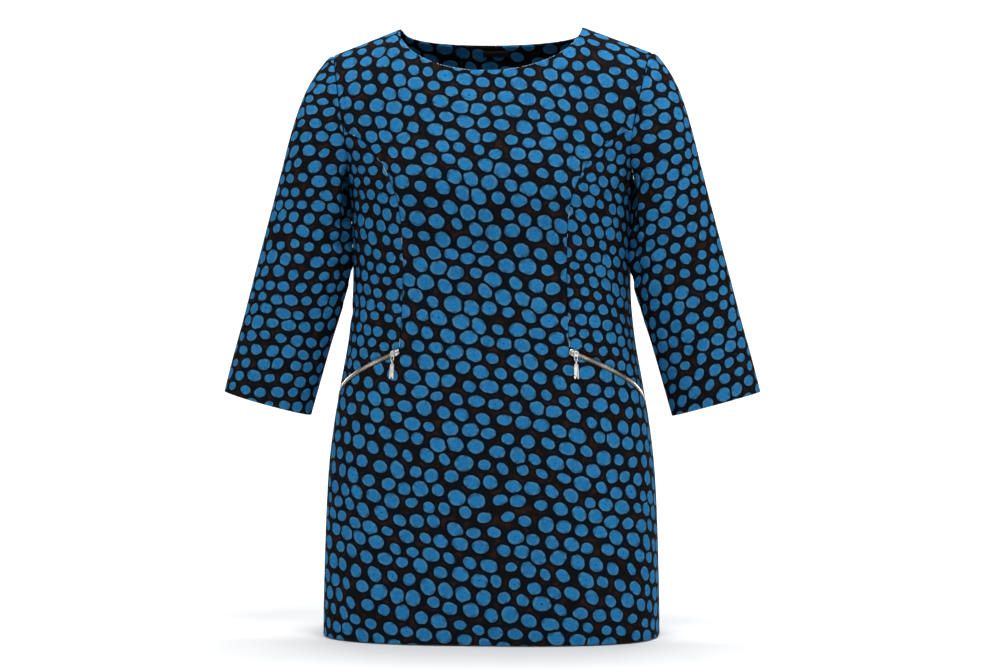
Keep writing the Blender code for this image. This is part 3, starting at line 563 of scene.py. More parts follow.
@functools.lru_cache(maxsize=None)
def section_line(side, height):
    """Half of a section from the centre line to the side seam: x, y and the length so far."""
    half_width, front, back, squareness = body_section(height)
    depth = front if side == FRONT else back
    across = np.abs(np.sin(QUARTER_TURN)) / half_width
    along_y = np.abs(np.cos(QUARTER_TURN)) / depth
    reach = (across**squareness + along_y**squareness) ** (-1 / squareness)
    x = reach * np.sin(QUARTER_TURN)
    y = side * reach * np.cos(QUARTER_TURN)
    if side == FRONT:
        out = ((x - BUST_HALF_SPACING) / BUST_RADIUS_ACROSS) ** 2
        up = ((height - BUST_HEIGHT) / BUST_RADIUS_UP) ** 2
        y = y - BUST_FULLNESS * np.exp(-out - up)
    length = np.concatenate([[0.0], np.cumsum(np.hypot(np.diff(x), np.diff(y)))])
    return x, y, length


def on_body(side, along, height):
    """The body's outer face at a length along its section and a height."""
    x, y, length = section_line(side, round(height, 7))
    return (np.interp(along, length, x), np.interp(along, length, y), height)


def edge_along(side, height):
    """Where the section ends: at the side seam, or above the underarm at the armhole."""
    _, y, length = section_line(side, round(height, 7))
    if height <= UNDERARM:
        return length[-1]
    drop = min(1.0, (CHEST - height) / (CHEST - UNDERARM))
    inset = ARMHOLE_INSET[side] * math.sqrt(1.0 - drop**2)
    return np.interp(-inset, -np.abs(y), length)


def princess_along(height):
    """The length from the centre line to the front seam."""
    x, _, length = section_line(FRONT, round(height, 7))
    return np.interp(princess_x(height)[0], x, length)


def side_along(side, height):
    """The section's end, less half of the side seam's gap below the underarm."""
    return edge_along(side, height) - (SEAM / 2 if height <= UNDERARM else 0.0)


def towards_neck_point(share):
    """How far round the neckline a share lies, from the centre (0) to the shoulder seam (1)."""
    return 1.0 - max(1.0 - share / NECK_SHARE, 0.0) ** NECK_CROWDING


def top_edge(side, share):
    """The neckline up to the shoulder seam, then the shoulder seam out to its tip."""
    if share <= NECK_SHARE:
        turn = math.pi / 2 * towards_neck_point(share)
        fall = max(math.cos(turn), 0.0) if share < NECK_SHARE else 0.0
        return np.array(
            [
                NECK_HALF_WIDTH * math.sin(turn),
                RIDGE_Y + side * NECK_REACH[side] * fall**NECK_ROLL,
                -NECK_DROP[side] * fall ** NECK_SHAPE[side],
            ]
        )
    out = (share - NECK_SHARE) / (1.0 - NECK_SHARE)
    return np.array([blend(NECK_HALF_WIDTH, SHOULDER_TIP_X, out), RIDGE_Y, SHOULDER_TIP_Z * out])


@functools.lru_cache(maxsize=None)
def yoke_column(side, share):
    """The ends of one upright line of the yoke, and its directions there."""
    step = 0.002
    foot = np.array(on_body(side, share * edge_along(side, CHEST), CHEST))
    below = np.array(on_body(side, share * edge_along(side, CHEST - step), CHEST - step))
    top = top_edge(side, share)
    towards_neck = towards_neck_point(share)
    lean = blend(NECK_LEAN[side], math.pi / 2, 1.0 - math.sqrt(1.0 - towards_neck**2))
    out = max(share - NECK_SHARE, 0.0) / (1.0 - NECK_SHARE)
    spread = blend(NECK_SPREAD * towards_neck**2, SHOULDER_SPREAD, out)
    top_direction = np.array([spread, -side * math.sin(lean), math.cos(lean)])
    reach = np.linalg.norm(top - foot)
    pull = reach * blend(1.0, SHOULDER_ROUND[side], towards_neck)
    return foot, (foot - below) / step * pull, top, top_direction * pull, reach


def yoke_point(side, share, rise):
    """The body above chest height: share runs from the centre to the armhole, rise upwards."""
    foot, foot_slope, top, top_slope, reach = yoke_column(side, share)
    return hermite(foot, foot_slope, top, top_slope, rise * (1.0 - SEAM / 2 / reach))


def zip_height(share):
    return blend(ZIP_INNER_HEIGHT, ZIP_OUTER_HEIGHT, share) + 4 * ZIP_BOW * share * (1 - share)


def zip_pattern(share, rise, inner_edge):
    """A pattern place beside the zip's centre line, rise above it along the dress."""
    height = zip_height(share) + rise
    inner = princess_along(height) + inner_edge * SEAM / 2
    outer = edge_along(FRONT, height) - SEAM / 2
    return np.array([blend(inner, outer, share), height])


def zip_run():
    """How far the zip runs along the pattern, and how far it falls."""
    run = edge_along(FRONT, ZIP_OUTER_HEIGHT) - princess_along(ZIP_INNER_HEIGHT)
    return run, ZIP_INNER_HEIGHT - ZIP_OUTER_HEIGHT


def zip_half(width):
    """Half of a width that is measured square to the zip, taken upright."""
    run, fall = zip_run()
    return width / 2 * math.hypot(run, fall) / run


SLOT_HALF = zip_half(ZIP_SLOT)


# --- laying cloth --------------------------------------------------------------------------

EDGE_STEPS = (0.0006, 0.0014, 0.0026, 0.0042)


def steps_over(length, least=1):
    """How many mesh steps go into a length."""
    return max(least, round(length / bpy.context.scene.dress_cloth.step))


def shares_over(length, start_edge=True):
    """Shares from 0 to 1 about a step apart, closer together beside an edge that is sewn."""
    close = [s / length for s in EDGE_STEPS]
    low, high = close[-1] if start_edge else 0.0, 1.0 - close[-1]
    shares = np.linspace(low, high, steps_over((high - low) * length, 2) + 1)
    before = [0.0, *close[:-1]] if start_edge else []
    return np.array([*before, *shares, *(1.0 - s for s in close[-2::-1]), 1.0])


def grid_normals(points):
    """Outward directions of a grid whose rows run right and upwards, seen from outside."""
    across = np.gradient(points, axis=1)
    up = np.gradient(points, axis=0)
    normal = np.cross(across, up)
    return normal / np.maximum(np.linalg.norm(normal, axis=2, keepdims=True), 1e-12)


def turned_edge(points, pattern, outward, width):
    """The rows that turn the first row's edge inside: a half round, then the band behind it."""
    depth = bpy.context.scene.dress_cloth.turn_depth
    rows, spots = [], []
    normals = outward * grid_normals(points)
    edge, normal = points[0], normals[0]
    down = points[0] - points[1]
    down = down / np.linalg.norm(down, axis=1, keepdims=True)
    length = lengths_along(points[:, 0])
    for turn in np.linspace(0.0, math.pi, 9)[1:]:
        inwards, outwards = normal * (1 - math.cos(turn)), down * math.sin(turn)
        rows.append(edge - inwards * depth / 2 + outwards * depth / 2)
        fall = depth / 2 * turn
        spots.append([*(pattern[0].T - [[0.0], [fall]]), np.full(len(edge), math.cos(turn))])
    for climb in np.linspace(0.0, width, steps_over(width, 2) + 1)[1:]:
        place = np.interp(climb, length, np.arange(len(length)))
        low, share = int(place), place - int(place)
        body = blend(points[low], points[min(low + 1, len(points) - 1)], share)
        rows.append(body - normals[low] * depth)
        fall = depth * HALF_ROUND_LENGTH + climb
        spots.append([*(pattern[0].T - [[0.0], [fall]]), np.full(len(edge), -1.0)])
    first = [*pattern[0].T, np.ones(len(edge))]
    return np.array([points[0], *rows]), np.array([first, *spots]).transpose(0, 2, 1)


def new_cloth():
    surface = bmesh.new()
    surface.verts.layers.float_vector.new("pattern")
    surface.loops.layers.uv.new("cloth")
    return surface


def lay_grid(surface, points, pattern, flip=False, lay=(0.0, 0.0, 1.0)):
    """Quads through a grid of points, with each corner's place on the printed cloth as its UV.

    A pattern place may carry a third value: how much of a crease or seam reaches it, from 1 on the
    outer face to -1 on a band that is turned inside.
    """
    shift_along, shift_up, smaller = lay
    spot = surface.verts.layers.float_vector["pattern"]
    cloth = surface.loops.layers.uv["cloth"]
    rows, columns = points.shape[:2]
    verts = []
    for r in range(rows):
        for c in range(columns):
            vert = surface.verts.new(points[r, c])
            vert[spot] = (*pattern[r, c, :2], pattern[r, c, 2] if pattern.shape[2] > 2 else 1.0)
            verts.append(vert)
    for r in range(rows - 1):
        for c in range(columns - 1):
            corners = [(r, c), (r, c + 1), (r + 1, c + 1), (r + 1, c)]
            if flip:
                corners.reverse()
            face = surface.faces.new([verts[i * columns + j] for i, j in corners])
            for loop, (i, j) in zip(face.loops, corners):
                along, up = pattern[i, j, :2]
                loop[cloth].uv = (along * smaller + shift_along, up * smaller + shift_up)


def crease_push(u, v, creases):
    """How far creases press the cloth in at pattern places u, v."""
    push = np.zeros(len(u))
    for along, height, tilt, half_length, half_width, depth in creases:
        cos, sin = math.cos(math.radians(tilt)), math.sin(math.radians(tilt))
        run = ((u - along) * cos + (v - height) * sin) / half_length
        off = (-(u - along) * sin + (v - height) * cos) / half_width
        trough = np.exp(-(off**2)) - CREASE_LIP * np.exp(-((np.abs(off) - CREASE_LIP_PLACE) ** 2))
        push += depth * trough * np.exp(-(run**2))
    return push


def mesh_object(name, surface, material):
    """An object made of a finished bmesh."""
    mesh = bpy.data.meshes.new(name)
    surface.to_mesh(mesh)
    surface.free()
    mesh.materials.append(material)
    return placed(bpy.data.objects.new(name, mesh))


def placed(thing):
    bpy.context.scene.collection.objects.link(thing)
    return thing


def finish_cloth(name, surface, creases, seams, material, node):
    """Presses in creases and seams, gives the cloth its thickness and puts it in the frame."""
    sizes = bpy.context.scene.dress_cloth
    bmesh.ops.remove_doubles(surface, verts=surface.verts, dist=WELD)
    surface.normal_update()
    spot = surface.verts.layers.float_vector["pattern"]
    places = np.array([vert[spot] for vert in surface.verts])
    push = sizes.crease * crease_push(places[:, 0], places[:, 1], creases)
    if seams:
        tree = kdtree.KDTree(len(seams))
        for i, point in enumerate(seams):
            tree.insert(point, i)
        tree.balance()
        near = np.array([tree.find(vert.co)[2] for vert in surface.verts])
        inside = np.clip(1.0 - near / sizes.seam_width, 0.0, 1.0)
        push += sizes.seam_depth * (1.0 - np.sqrt(1.0 - inside**2))
    push *= places[:, 2]
    normals = [vert.normal.copy() for vert in surface.verts]
    for vert, normal, depth in zip(surface.verts, normals, push):
        vert.co -= normal * depth
    area = sum(face.calc_area() for face in surface.faces)
    cloth = mesh_object(name, surface, material)
    cloth.data.shade_smooth()
    wall = cloth.modifiers.new("cloth wall", "SOLIDIFY")
    wall.thickness = sizes.thickness
    wall.offset = -1.0
    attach(cloth, "dress")
    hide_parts(node)
    return cloth


def seam_line(points):
    """Places along a polyline, close enough together to measure distances to it."""
    line = []
    for a, b in zip(points, points[1:]):
        count = max(1, int(np.linalg.norm(b - a) / SEAM_SPACING))
        line += [blend(a, b, i / count) for i in range(count)]
    return [*line, points[-1]]


def mirrored(points, pattern):
    return points * np.array([-1.0, 1.0, 1.0]), pattern * np.array([-1.0, 1.0])


def whole_width(points, pattern):
    """A half grid from the centre outwards, joined with its mirror image."""
    others = mirrored(points[:, ::-1], pattern[:, ::-1])
    pairs = zip(others, (points, pattern))
    return [np.concatenate([other[:, :-1], own], axis=1) for other, own in pairs]


def on_body_grid(side, pattern):
    rows, columns = pattern.shape[:2]
    points = np.array([[on_body(side, u, v) for u, v in row] for row in pattern])
    return points.reshape(rows, columns, 3)


def yoke_grid(side, shares, rises):
    """The yoke's grid, with the length climbed from the chest as its pattern height."""
    points = np.array([[yoke_point(side, share, rise) for share in shares] for rise in rises])
    along = np.tile(np.array(shares) * edge_along(side, CHEST), (len(rises), 1))
    return points, np.stack([along, CHEST + lengths_along(points)], axis=2)


def yoke_rises():
    return shares_over(YOKE_HEIGHT, start_edge=False)


def scoop_heights():
    """Heights up the lower armhole, evenly spread round its curve."""
    turns = np.linspace(0.0, math.pi / 2, steps_over(SCOOP_LENGTH, 8))
    return CHEST - (CHEST - UNDERARM) * np.cos(turns)


def evenly_picked(lengths, step):
    """Indexes about a step apart, with both ends and without the close lines beside an edge."""
    places = np.linspace(0.0, lengths[-1], max(4, round(lengths[-1] / step)) + 1)
    return np.unique(np.abs(lengths[None, :] - places[:, None]).argmin(axis=1))


def flatten(points, pattern):
    """Lays a curved grid flat from its first rows on, so that the printed dots stay round on it."""
    climb, reach = lengths_along(points), lengths_along(points, 1)
    rows = evenly_picked(climb.mean(axis=1), FLATTEN_STEP)
    columns = evenly_picked(reach.mean(axis=0), FLATTEN_STEP)
    anchor = np.abs(pattern[0, :, 0]).argmin()
    start = pattern.copy()
    start[:, :, 0] = pattern[:, anchor : anchor + 1, 0] + reach - reach[:, anchor : anchor + 1]
    curved, flat = points[np.ix_(rows, columns)], start[np.ix_(rows, columns)]
    flat[:2] = pattern[np.ix_(rows[:2], columns)]
    pairs = []
    for down, along in ((0, 1), (1, 0), (1, 1), (1, -1)):
        left, right = max(0, -along), len(columns) - max(0, along)
        first = (slice(0, len(rows) - down), slice(left, right))
        second = (slice(down, len(rows)), slice(left + along, right + along))
        pairs.append((first, second, np.linalg.norm(curved[second] - curved[first], axis=2)[..., None]))
    for _ in range(FLATTEN_ROUNDS):
        move, count = np.zeros_like(flat), np.zeros((len(rows), len(columns), 1))
        for first, second, length in pairs:
            way = flat[second] - flat[first]
            shift = way * (1 - length / np.linalg.norm(way, axis=2, keepdims=True)) / 2
            move[first] += shift
            move[second] -= shift
            count[first] += 1
            count[second] += 1
        flat[2:] += (move / count)[2:]
    wide = []
    for i, row in enumerate(rows):
        curve = table_curve(np.column_stack([reach[row, columns], flat[i]]))
        wide.append([curve(place) for place in reach[row]])
    wide = np.array(wide)
    spread = np.empty_like(pattern)
    for column in range(points.shape[1]):
        curve = table_curve(np.column_stack([climb[rows, column], wide[:, column]]))
        spread[:, column] = [curve(place) for place in climb[:, column]]
    return spread


def creases_on(side):
    return [row[1:] for row in BODY_CREASES if row[0] == side]


# --- the pieces ----------------------------------------------------------------------------


def make_front_panel(material):
    """Centre front with the whole lower skirt, from side seam to side seam below the zips."""
    sizes = bpy.context.scene.dress_cloth
    shares = shares_over(CENTRE_HALF_WIDTH, start_edge=False)
    zip_shares = shares_over(SLOT_LENGTH, start_edge=False)
    lowers = [zip_pattern(share, -SLOT_HALF, -1) for share in zip_shares]
    lift = sizes.turn_depth / 2
    rises = shares_over(SKIRT_HEIGHT, start_edge=False)
    skirt = []
    for rise in rises:
        centre_height = blend(HEM + lift, lowers[0][1], rise)
        inner = princess_along(centre_height) - SEAM / 2
        row = [(share * inner, centre_height) for share in shares[:-1]]
        for share, lower in zip(zip_shares, lowers):
            height = blend(HEM + lift, lower[1], rise)
            edges = princess_along(height) - SEAM / 2, side_along(FRONT, height)
            row.append((blend(*edges, share), height))
        skirt.append(row)
    skirt = np.array(skirt)
    surface = new_cloth()
    lay = PRINT_LAY["front_panel"]
    points, pattern = whole_width(on_body_grid(FRONT, skirt), skirt)
    lay_grid(surface, points, pattern, lay=lay)
    hem, hem_pattern = turned_edge(points, pattern, 1, sizes.hem_width)
    lay_grid(surface, hem, hem_pattern, flip=True, lay=lay)
    seams = seam_line(points[:, 0]) + seam_line(points[:, -1])
    slot = len(zip_shares)
    seams += seam_line(points[-1, :slot]) + seam_line(points[-1, -slot:])

    heights = np.linspace(lowers[0][1], CHEST, steps_over(BODICE_HEIGHT, 12) + 1)[:-1]
    upper = [[(share * (princess_along(h) - SEAM / 2), h) for share in shares] for h in heights]
    upper = np.array(upper)
    points, pattern = whole_width(on_body_grid(FRONT, upper), upper)
    princess = [points[:, -1], points[:, 0]]
    yoke, yoke_pattern = yoke_grid(FRONT, shares, yoke_rises())
    yoke, yoke_pattern = whole_width(yoke, yoke_pattern)
    points, pattern = np.concatenate([points, yoke]), np.concatenate([pattern, yoke_pattern])
    curved = len(heights) - FRONT_ROWS_LAID_FLAT
    pattern[curved:] = flatten(points[curved:], pattern[curved:])
    yoke_pattern = pattern[-len(yoke) :]
    lay_grid(surface, points, pattern, lay=lay)
    for line in (*princess, yoke[:, 0], yoke[:, -1]):
        seams += seam_line(line)
    neck = int(np.sum(shares < NECK_SHARE - 1e-6))
    middle = len(shares) - 1
    seams += seam_line(yoke[-1, : middle - neck]) + seam_line(yoke[-1, middle + neck + 1 :])
    front_neck = np.s_[::-1, middle - neck : middle + neck + 1]
    turn, turn_pattern = turned_edge(
        yoke[front_neck], yoke_pattern[front_neck], -1, sizes.neck_turn
    )
    lay_grid(surface, turn, turn_pattern, lay=lay)
    finish_cloth("front_panel_cloth", surface, creases_on(FRONT), seams, material, "front_panel")


def make_side_front(side_name, sign, material):
    """From the bust seam round to the side seam, above the zip and up to the armhole."""
    zip_shares = shares_over(SIDE_FRONT_WIDTH)
    uppers = [zip_pattern(share, SLOT_HALF, 1) for share in zip_shares]
    below = np.linspace(uppers[-1][1], UNDERARM, steps_over(SIDE_SEAM_ABOVE_ZIP) + 1)
    ends = [*below, *scoop_heights()[1:-1], CHEST - TOP_ROW_END]
    starts = blend(uppers[0][1], CHEST - TOP_ROW_START, np.linspace(0.0, 1.0, len(ends)))
    grid = []
    for i, (low, high) in enumerate(zip(starts, ends)):
        towards_zip = 1.0 - i / (len(ends) - 1)
        start = np.array([princess_along(low) + SEAM / 2, low])
        end = np.array([side_along(FRONT, high), high])
        row = []
        for share, upper in zip(zip_shares, uppers):
            to_slot = upper - blend(uppers[0], uppers[-1], share)
            row.append(blend(start, end, share) + to_slot * towards_zip)
        grid.append(row)
    grid = np.array(grid)
    points = on_body_grid(FRONT, grid)
    if sign < 0:
        points, grid = mirrored(points, grid)
    surface = new_cloth()
    name = "side_front_" + side_name
    lay_grid(surface, points, grid, flip=sign < 0, lay=PRINT_LAY[name])
    seams = seam_line(points[:-BUST_SEAM_END_ROWS, 0]) + seam_line(points[0])
    seams += seam_line(points[: len(below), -1])
    finish_cloth(name + "_cloth", surface, creases_on(FRONT), seams, material, name)


def make_back(side_name, sign, material):
    """Half of the back, from the centre back seam to the side seam and the armhole."""
    sizes = bpy.context.scene.dress_cloth
    shares = shares_over(BACK_HALF_WIDTH)
    low = HEM + sizes.turn_depth / 2
    below = np.linspace(low, UNDERARM, steps_over(SIDE_SEAM_HEIGHT) + 1)
    heights = [*below, *scoop_heights()[1:-1]]
    grid = [[(blend(SEAM / 2, side_along(BACK, h), share), h) for share in shares] for h in heights]
    grid = np.array(grid)
    points = on_body_grid(BACK, grid)
    seam_share = SEAM / 2 / edge_along(BACK, CHEST)
    yoke, yoke_pattern = yoke_grid(BACK, np.maximum(shares, seam_share), yoke_rises())
    points, pattern = np.concatenate([points, yoke]), np.concatenate([grid, yoke_pattern])
    curved = len(heights) - BACK_ROWS_LAID_FLAT
    pattern[curved:] = flatten(points[curved:], pattern[curved:])
    if sign < 0:
        points, pattern = mirrored(points, pattern)
    surface = new_cloth()
    name = "back_" + side_name
    lay = PRINT_LAY[name]
    lay_grid(surface, points, pattern, flip=sign > 0, lay=lay)
    hem, hem_pattern = turned_edge(points, pattern, -sign, sizes.hem_width)
    lay_grid(surface, hem, hem_pattern, flip=sign < 0, lay=lay)
    edges = points[:, 0], points[: len(below), -1], points[-len(yoke) :, -1], points[-1]
    seams = [place for edge in edges for place in seam_line(edge)]
    finish_cloth(name + "_cloth", surface, creases_on(BACK), seams, material, name)


def armhole_ring():
    """The body's armhole edge: points from the shoulder tip down the front and down the back."""
    halves = []
    for side in (FRONT, BACK):
        upper = [yoke_point(side, 1.0, rise) for rise in yoke_rises()[::-1]]
        scoop = [np.array(on_body(side, edge_along(side, h), h)) for h in scoop_heights()[-2::-1]]
        line = np.array([*upper, *scoop]) + np.array([ARMHOLE_GAP, 0.0, 0.0])
        length = lengths_along(line)
        halves.append((line, length / length[-1]))
    return halves


def ring_axes(ring):
    """Centre, half width, half depth and the directions of a ring: outwards, forwards and down."""
    outer_x, outer_z, inner_x, inner_z, half_depth, centre_y = ring[:6]
    outer = np.array([outer_x, centre_y, outer_z])
    inner = np.array([inner_x, centre_y, inner_z])
    half_width = np.linalg.norm(outer - inner) / 2
    outwards = (outer - inner) / (2 * half_width)
    forwards = np.array([0.0, -1.0, 0.0])
    axes = outwards, forwards, np.cross(forwards, outwards)
    return (outer + inner) / 2, half_width, half_depth, axes


def make_sleeve(side_name, sign, material):
    """A one-piece set-in sleeve, open at the armhole and the cuff, with its seam at the underarm."""
    sizes = bpy.context.scene.dress_cloth
    halves = armhole_ring()
    rings = np.array(SLEEVE_RINGS)
    run = lengths_along(rings[:, :2])
    ring_at = table_curve(np.column_stack([run / run[-1], rings]))
    first_centre, first_width, first_depth, first_axes = ring_axes(rings[0])
    gap = SEAM / SLEEVE_GIRTH
    turns = (shares_over(SLEEVE_GIRTH) * (1.0 - gap) + gap / 2) * 2 - 1.0
    places = 1.0 - shares_over(SLEEVE_LENGTH, start_edge=False)[::-1]
    places = places * (1.0 - sizes.turn_depth / 2 / SLEEVE_LENGTH)
    points = []
    for place in places:
        ring = ring_at(place)
        centre, half_width, half_depth, axes = ring_axes(ring)
        row = []
        for turn in turns:
            line, share = halves[0] if turn >= 0 else halves[1]
            edge = np.array([np.interp(abs(turn), share, line[:, k]) for k in range(3)])
            angle = math.pi * turn
            cos, sin = math.cos(angle), math.sin(angle)
            oval = first_centre + first_width * cos * first_axes[0] + first_depth * sin * first_axes[1]
            point = centre + half_width * cos * axes[0] + half_depth * sin * axes[1]
            for axis, first_axis in zip(axes, first_axes):
                point = point + ring[6] * np.dot(edge - oval, first_axis) * axis
            row.append(point)
        points.append(row)
    points = np.array(points)
    up = lengths_along(points[::-1])[::-1] - places[-1] * run[-1]
    round_it = lengths_along(points, 1)
    middle = len(turns) // 2
    pattern = np.stack([round_it - round_it[:, middle : middle + 1], up], axis=2)
    curved = len(points) - CUFF_ROWS_LEFT
    pattern[:curved] = flatten(points[:curved][::-1], pattern[:curved][::-1])[::-1]
    creases = []
    for place, turn, tilt, half_length, half_width, depth in SLEEVE_CREASES:
        along = 2 * (turn if turn <= 0.5 else turn - 1.0) * CREASE_HALF_GIRTH
        creases.append((along, -place * run[-1], tilt, half_length, half_width, depth))
    if sign < 0:
        points, pattern = mirrored(points, pattern)
        creases = [(-u, v + RIGHT_CREASE_LIFT, -tilt, *shape) for u, v, tilt, *shape in creases]
    name = "sleeve_" + side_name
    lay = PRINT_LAY[name]
    surface = new_cloth()
    lay_grid(surface, points, pattern, flip=sign < 0, lay=lay)
    cuff, cuff_pattern = turned_edge(points[::-1], pattern[::-1], -sign, sizes.cuff_width)
    lay_grid(surface, cuff, cuff_pattern, flip=sign < 0, lay=lay)
    # Under the arm the two pieces lean apart, so the seam sinks in only above that
    seams = seam_line(points[:, 0]) + seam_line(points[:, -1])
    seams += seam_line([point for point in points[0] if point[2] > CHEST])
    finish_cloth(name + "_cloth", surface, creases, seams, material, name)


def inside_back(share, rise, depth):
    """A place on the back yoke, moved in from its outer face."""
    step = 0.004
    across = yoke_point(BACK, share + step, rise) - yoke_point(BACK, max(share - step, 0.0), rise)
    up = yoke_point(BACK, share, rise + step) - yoke_point(BACK, share, rise - step)
    normal = np.cross(up, across)
    return yoke_point(BACK, share, rise) - depth * unit(normal)


def make_facing(material):
    """The facing inside the back neck, cut from the same cloth."""
    sizes = bpy.context.scene.dress_cloth
    shares = np.linspace(0.0, FACING_END, FACING_GRID[1])
    rises = np.linspace(FACING_START, FACING_TOP, FACING_GRID[0])
    depth = sizes.thickness + sizes.seam_depth + AIR_BEHIND_BACK
    points = np.array([[inside_back(share, rise, depth) for share in shares] for rise in rises])
    pattern = np.stack([lengths_along(points, 1), lengths_along(points)], axis=2)
    points, pattern = whole_width(points, pattern)
    surface = new_cloth()
    name = "back_neck_facing"
    lay_grid(surface, points, pattern, lay=PRINT_LAY[name])
    cloth = finish_cloth(name + "_cloth", surface, [], [], material, name)
    cloth.modifiers["cloth wall"].thickness = FACING_THICKNESS


def make_label(material):
    """The bare woven label: a folded ribbon, a little puffed between its sewn ends."""
    columns = np.linspace(-1.0, 1.0, LABEL_GRID[1])
    rises = np.linspace(LABEL_START, LABEL_END, LABEL_GRID[0])
    sizes = bpy.context.scene.dress_cloth
    depth = sizes.thickness + sizes.seam_depth
    depth += AIR_BEHIND_BACK + FACING_THICKNESS + AIR_BEHIND_FACING
    points = []
    for i, rise in enumerate(rises):
        row = []
        for column in columns:
            puff = LABEL_PUFF * (1.0 - column**4) * math.sin(math.pi * (i + 0.5) / len(rises))
            spot = inside_back(abs(column) * LABEL_HALF_SHARE, rise, depth + puff)
            row.append(spot * np.array([math.copysign(1.0, column), 1.0, 1.0]))
        points.append(row)
    points = np.array(points)
    width = np.linalg.norm(points[0, -1] - points[0, 0])
    height = np.linalg.norm(points[-1, 0] - points[0, 0])
    ups = np.linspace(0, 1, len(rises)) * height
    pattern = np.array([[(column * width / 2, up) for column in columns] for up in ups])
    surface = new_cloth()
    lay_grid(surface, points, pattern)
    label = finish_cloth("neck_label_ribbon", surface, [], [], material, "neck_label")
    label.modifiers["cloth wall"].thickness = LABEL_THICKNESS
    return label, points


# --- zips and stitches ---------------------------------------------------------------------


def body_normal(along, height):
    """The outward direction of the front's face."""
    step = 0.002
    across = np.subtract(on_body(FRONT, along + step, height), on_body(FRONT, along - step, height))
    up = np.subtract(on_body(FRONT, along, height + step), on_body(FRONT, along, height - step))
    return unit(np.cross(across, up))


def laid_on(normal, way):
    """A direction laid flat on a face, and the one square to it on that face."""
    along = unit(way - np.dot(way, normal) * normal)
    return along, np.cross(normal, along)


def zip_spot(share, rise=0.0, lift=0.0):
    """A place beside the zip's centre line, lifted from the cloth's outer face."""
    pattern = zip_pattern(share, rise, 0)
    return np.array(on_body(FRONT, *pattern)) + lift * body_normal(*pattern)


def make_tape(side_name, sign, material):
    """The woven tape behind the slot."""
    sizes = bpy.context.scene.dress_cloth
    edge = SLOT_HALF + TAPE_LAP
    depth = sizes.thickness + sizes.seam_depth + AIR_BEHIND_SLOT
    shares = np.linspace(-TAPE_END, 1.0, TAPE_GRID[1])
    rises = np.linspace(-edge, edge, TAPE_GRID[0])
    points = np.array([[zip_spot(share, rise, -depth) for share in shares] for rise in rises])
    length = lengths_along(points[len(rises) // 2])[-1]
    places = length * np.linspace(0, 1, len(shares))
    pattern = np.array([[(place, rise) for place in places] for rise in rises])
    if sign < 0:
        points, pattern = mirrored(points, pattern)
    surface = new_cloth()
    lay_grid(surface, points, pattern, flip=sign < 0)
    name = "zip_tape_cloth_" + side_name
    tape = finish_cloth(name, surface, [], [], material, "zip_tape_" + side_name)
    tape.modifiers["cloth wall"].thickness = TAPE_THICKNESS


def round_ring(centre, across, out, sides):
    """Points evenly round an oval, given its centre and its two half axes."""
    turns = np.linspace(0.0, 2 * math.pi, sides + 1)[:-1]
    return [centre + math.cos(turn) * across + math.sin(turn) * out for turn in turns]


def add_loft(mesh, rings):
    """A closed form through rings of points, capped at both ends."""
    loops = [[mesh.verts.new(point) for point in ring] for ring in rings]
    for low, high in zip(loops, loops[1:]):
        for i in range(len(low)):
            j = (i + 1) % len(low)
            mesh.faces.new((low[i], low[j], high[j], high[i]))
    mesh.faces.new(loops[0][::-1])
    mesh.faces.new(loops[-1])


def make_teeth(side_name, sign, material):
    """The closed teeth: single stamped teeth clamped alternately to the two tapes."""
    sizes = bpy.context.scene.dress_trim
    shares = np.linspace(0.0, 1.0, 401)
    length = lengths_along(np.array([zip_spot(share) for share in shares]))
    mirror = np.array([sign, 1.0, 1.0])
    mesh = bmesh.new()
    # Teeth of the two tapes take turns, so they stand half a pitch apart
    spacing = sizes.tooth_pitch / 2
    count = int((length[-1] - 2 * CHAIN_END) / spacing)
    for i in range(count):
        share = np.interp(CHAIN_END + i * spacing, length, shares)
        here = zip_spot(share)
        normal = body_normal(*zip_pattern(share, 0.0, 0))
        ahead, behind = min(share + TOOTH_HEADING, 1.0), max(share - TOOTH_HEADING, 0.0)
        along, across = laid_on(normal, zip_spot(ahead) - zip_spot(behind))
        across = across * (1 if i % 2 else -1)
        rings = []
        for level, fullness in TOOTH_LEVELS:
            ring = []
            for out, way in TOOTH_OUTLINE:
                spread = across * blend(TOOTH_MIDDLE, out, fullness) + along * way * fullness
                ring.append((here + spread + normal * level) * mirror)
            rings.append(ring)
        add_loft(mesh, rings)
    trim_piece("zip_teeth_" + side_name, mesh, material, "zip_chain_" + side_name)


def trim_piece(name, mesh, material, node):
    """Puts a zip part or stitching in the frame, in place of a node if it is given."""
    bmesh.ops.recalc_face_normals(mesh, faces=mesh.faces)
    piece = mesh_object(name, mesh, material)
    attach(piece, "dress")
    if node:
        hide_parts(node)
    return piece


def add_stitch(mesh, start, end, radius, lift):
    """One stitch: a short thread that dips into the cloth at both ends."""
    way = end - start
    side = unit(np.cross(way, lift)) * radius
    rings = []
    for share, rise, fullness in STITCH_SHAPE:
        centre = start + way * share + lift * radius * rise
        rings.append(round_ring(centre, fullness * side, fullness * lift * radius, 6))
    add_loft(mesh, rings)


def make_label_stitches(points, material):
    """Short stitches down both ends of the label."""
    mesh = bmesh.new()
    for column, way in ((1, 1), (-2, -1)):
        for row in range(0, len(points) - 1, 2):
            start, end = points[row, column], points[row + 1, column]
            across = points[row, column + way] - start
            lift = unit(np.cross(end - start, across))
            # Towards the front, which is the side of the label that is seen
            lift = lift if lift[1] < 0 else -lift
            add_stitch(mesh, start, end, LABEL_THREAD, lift)
    trim_piece("label_stitches", mesh, material, None)


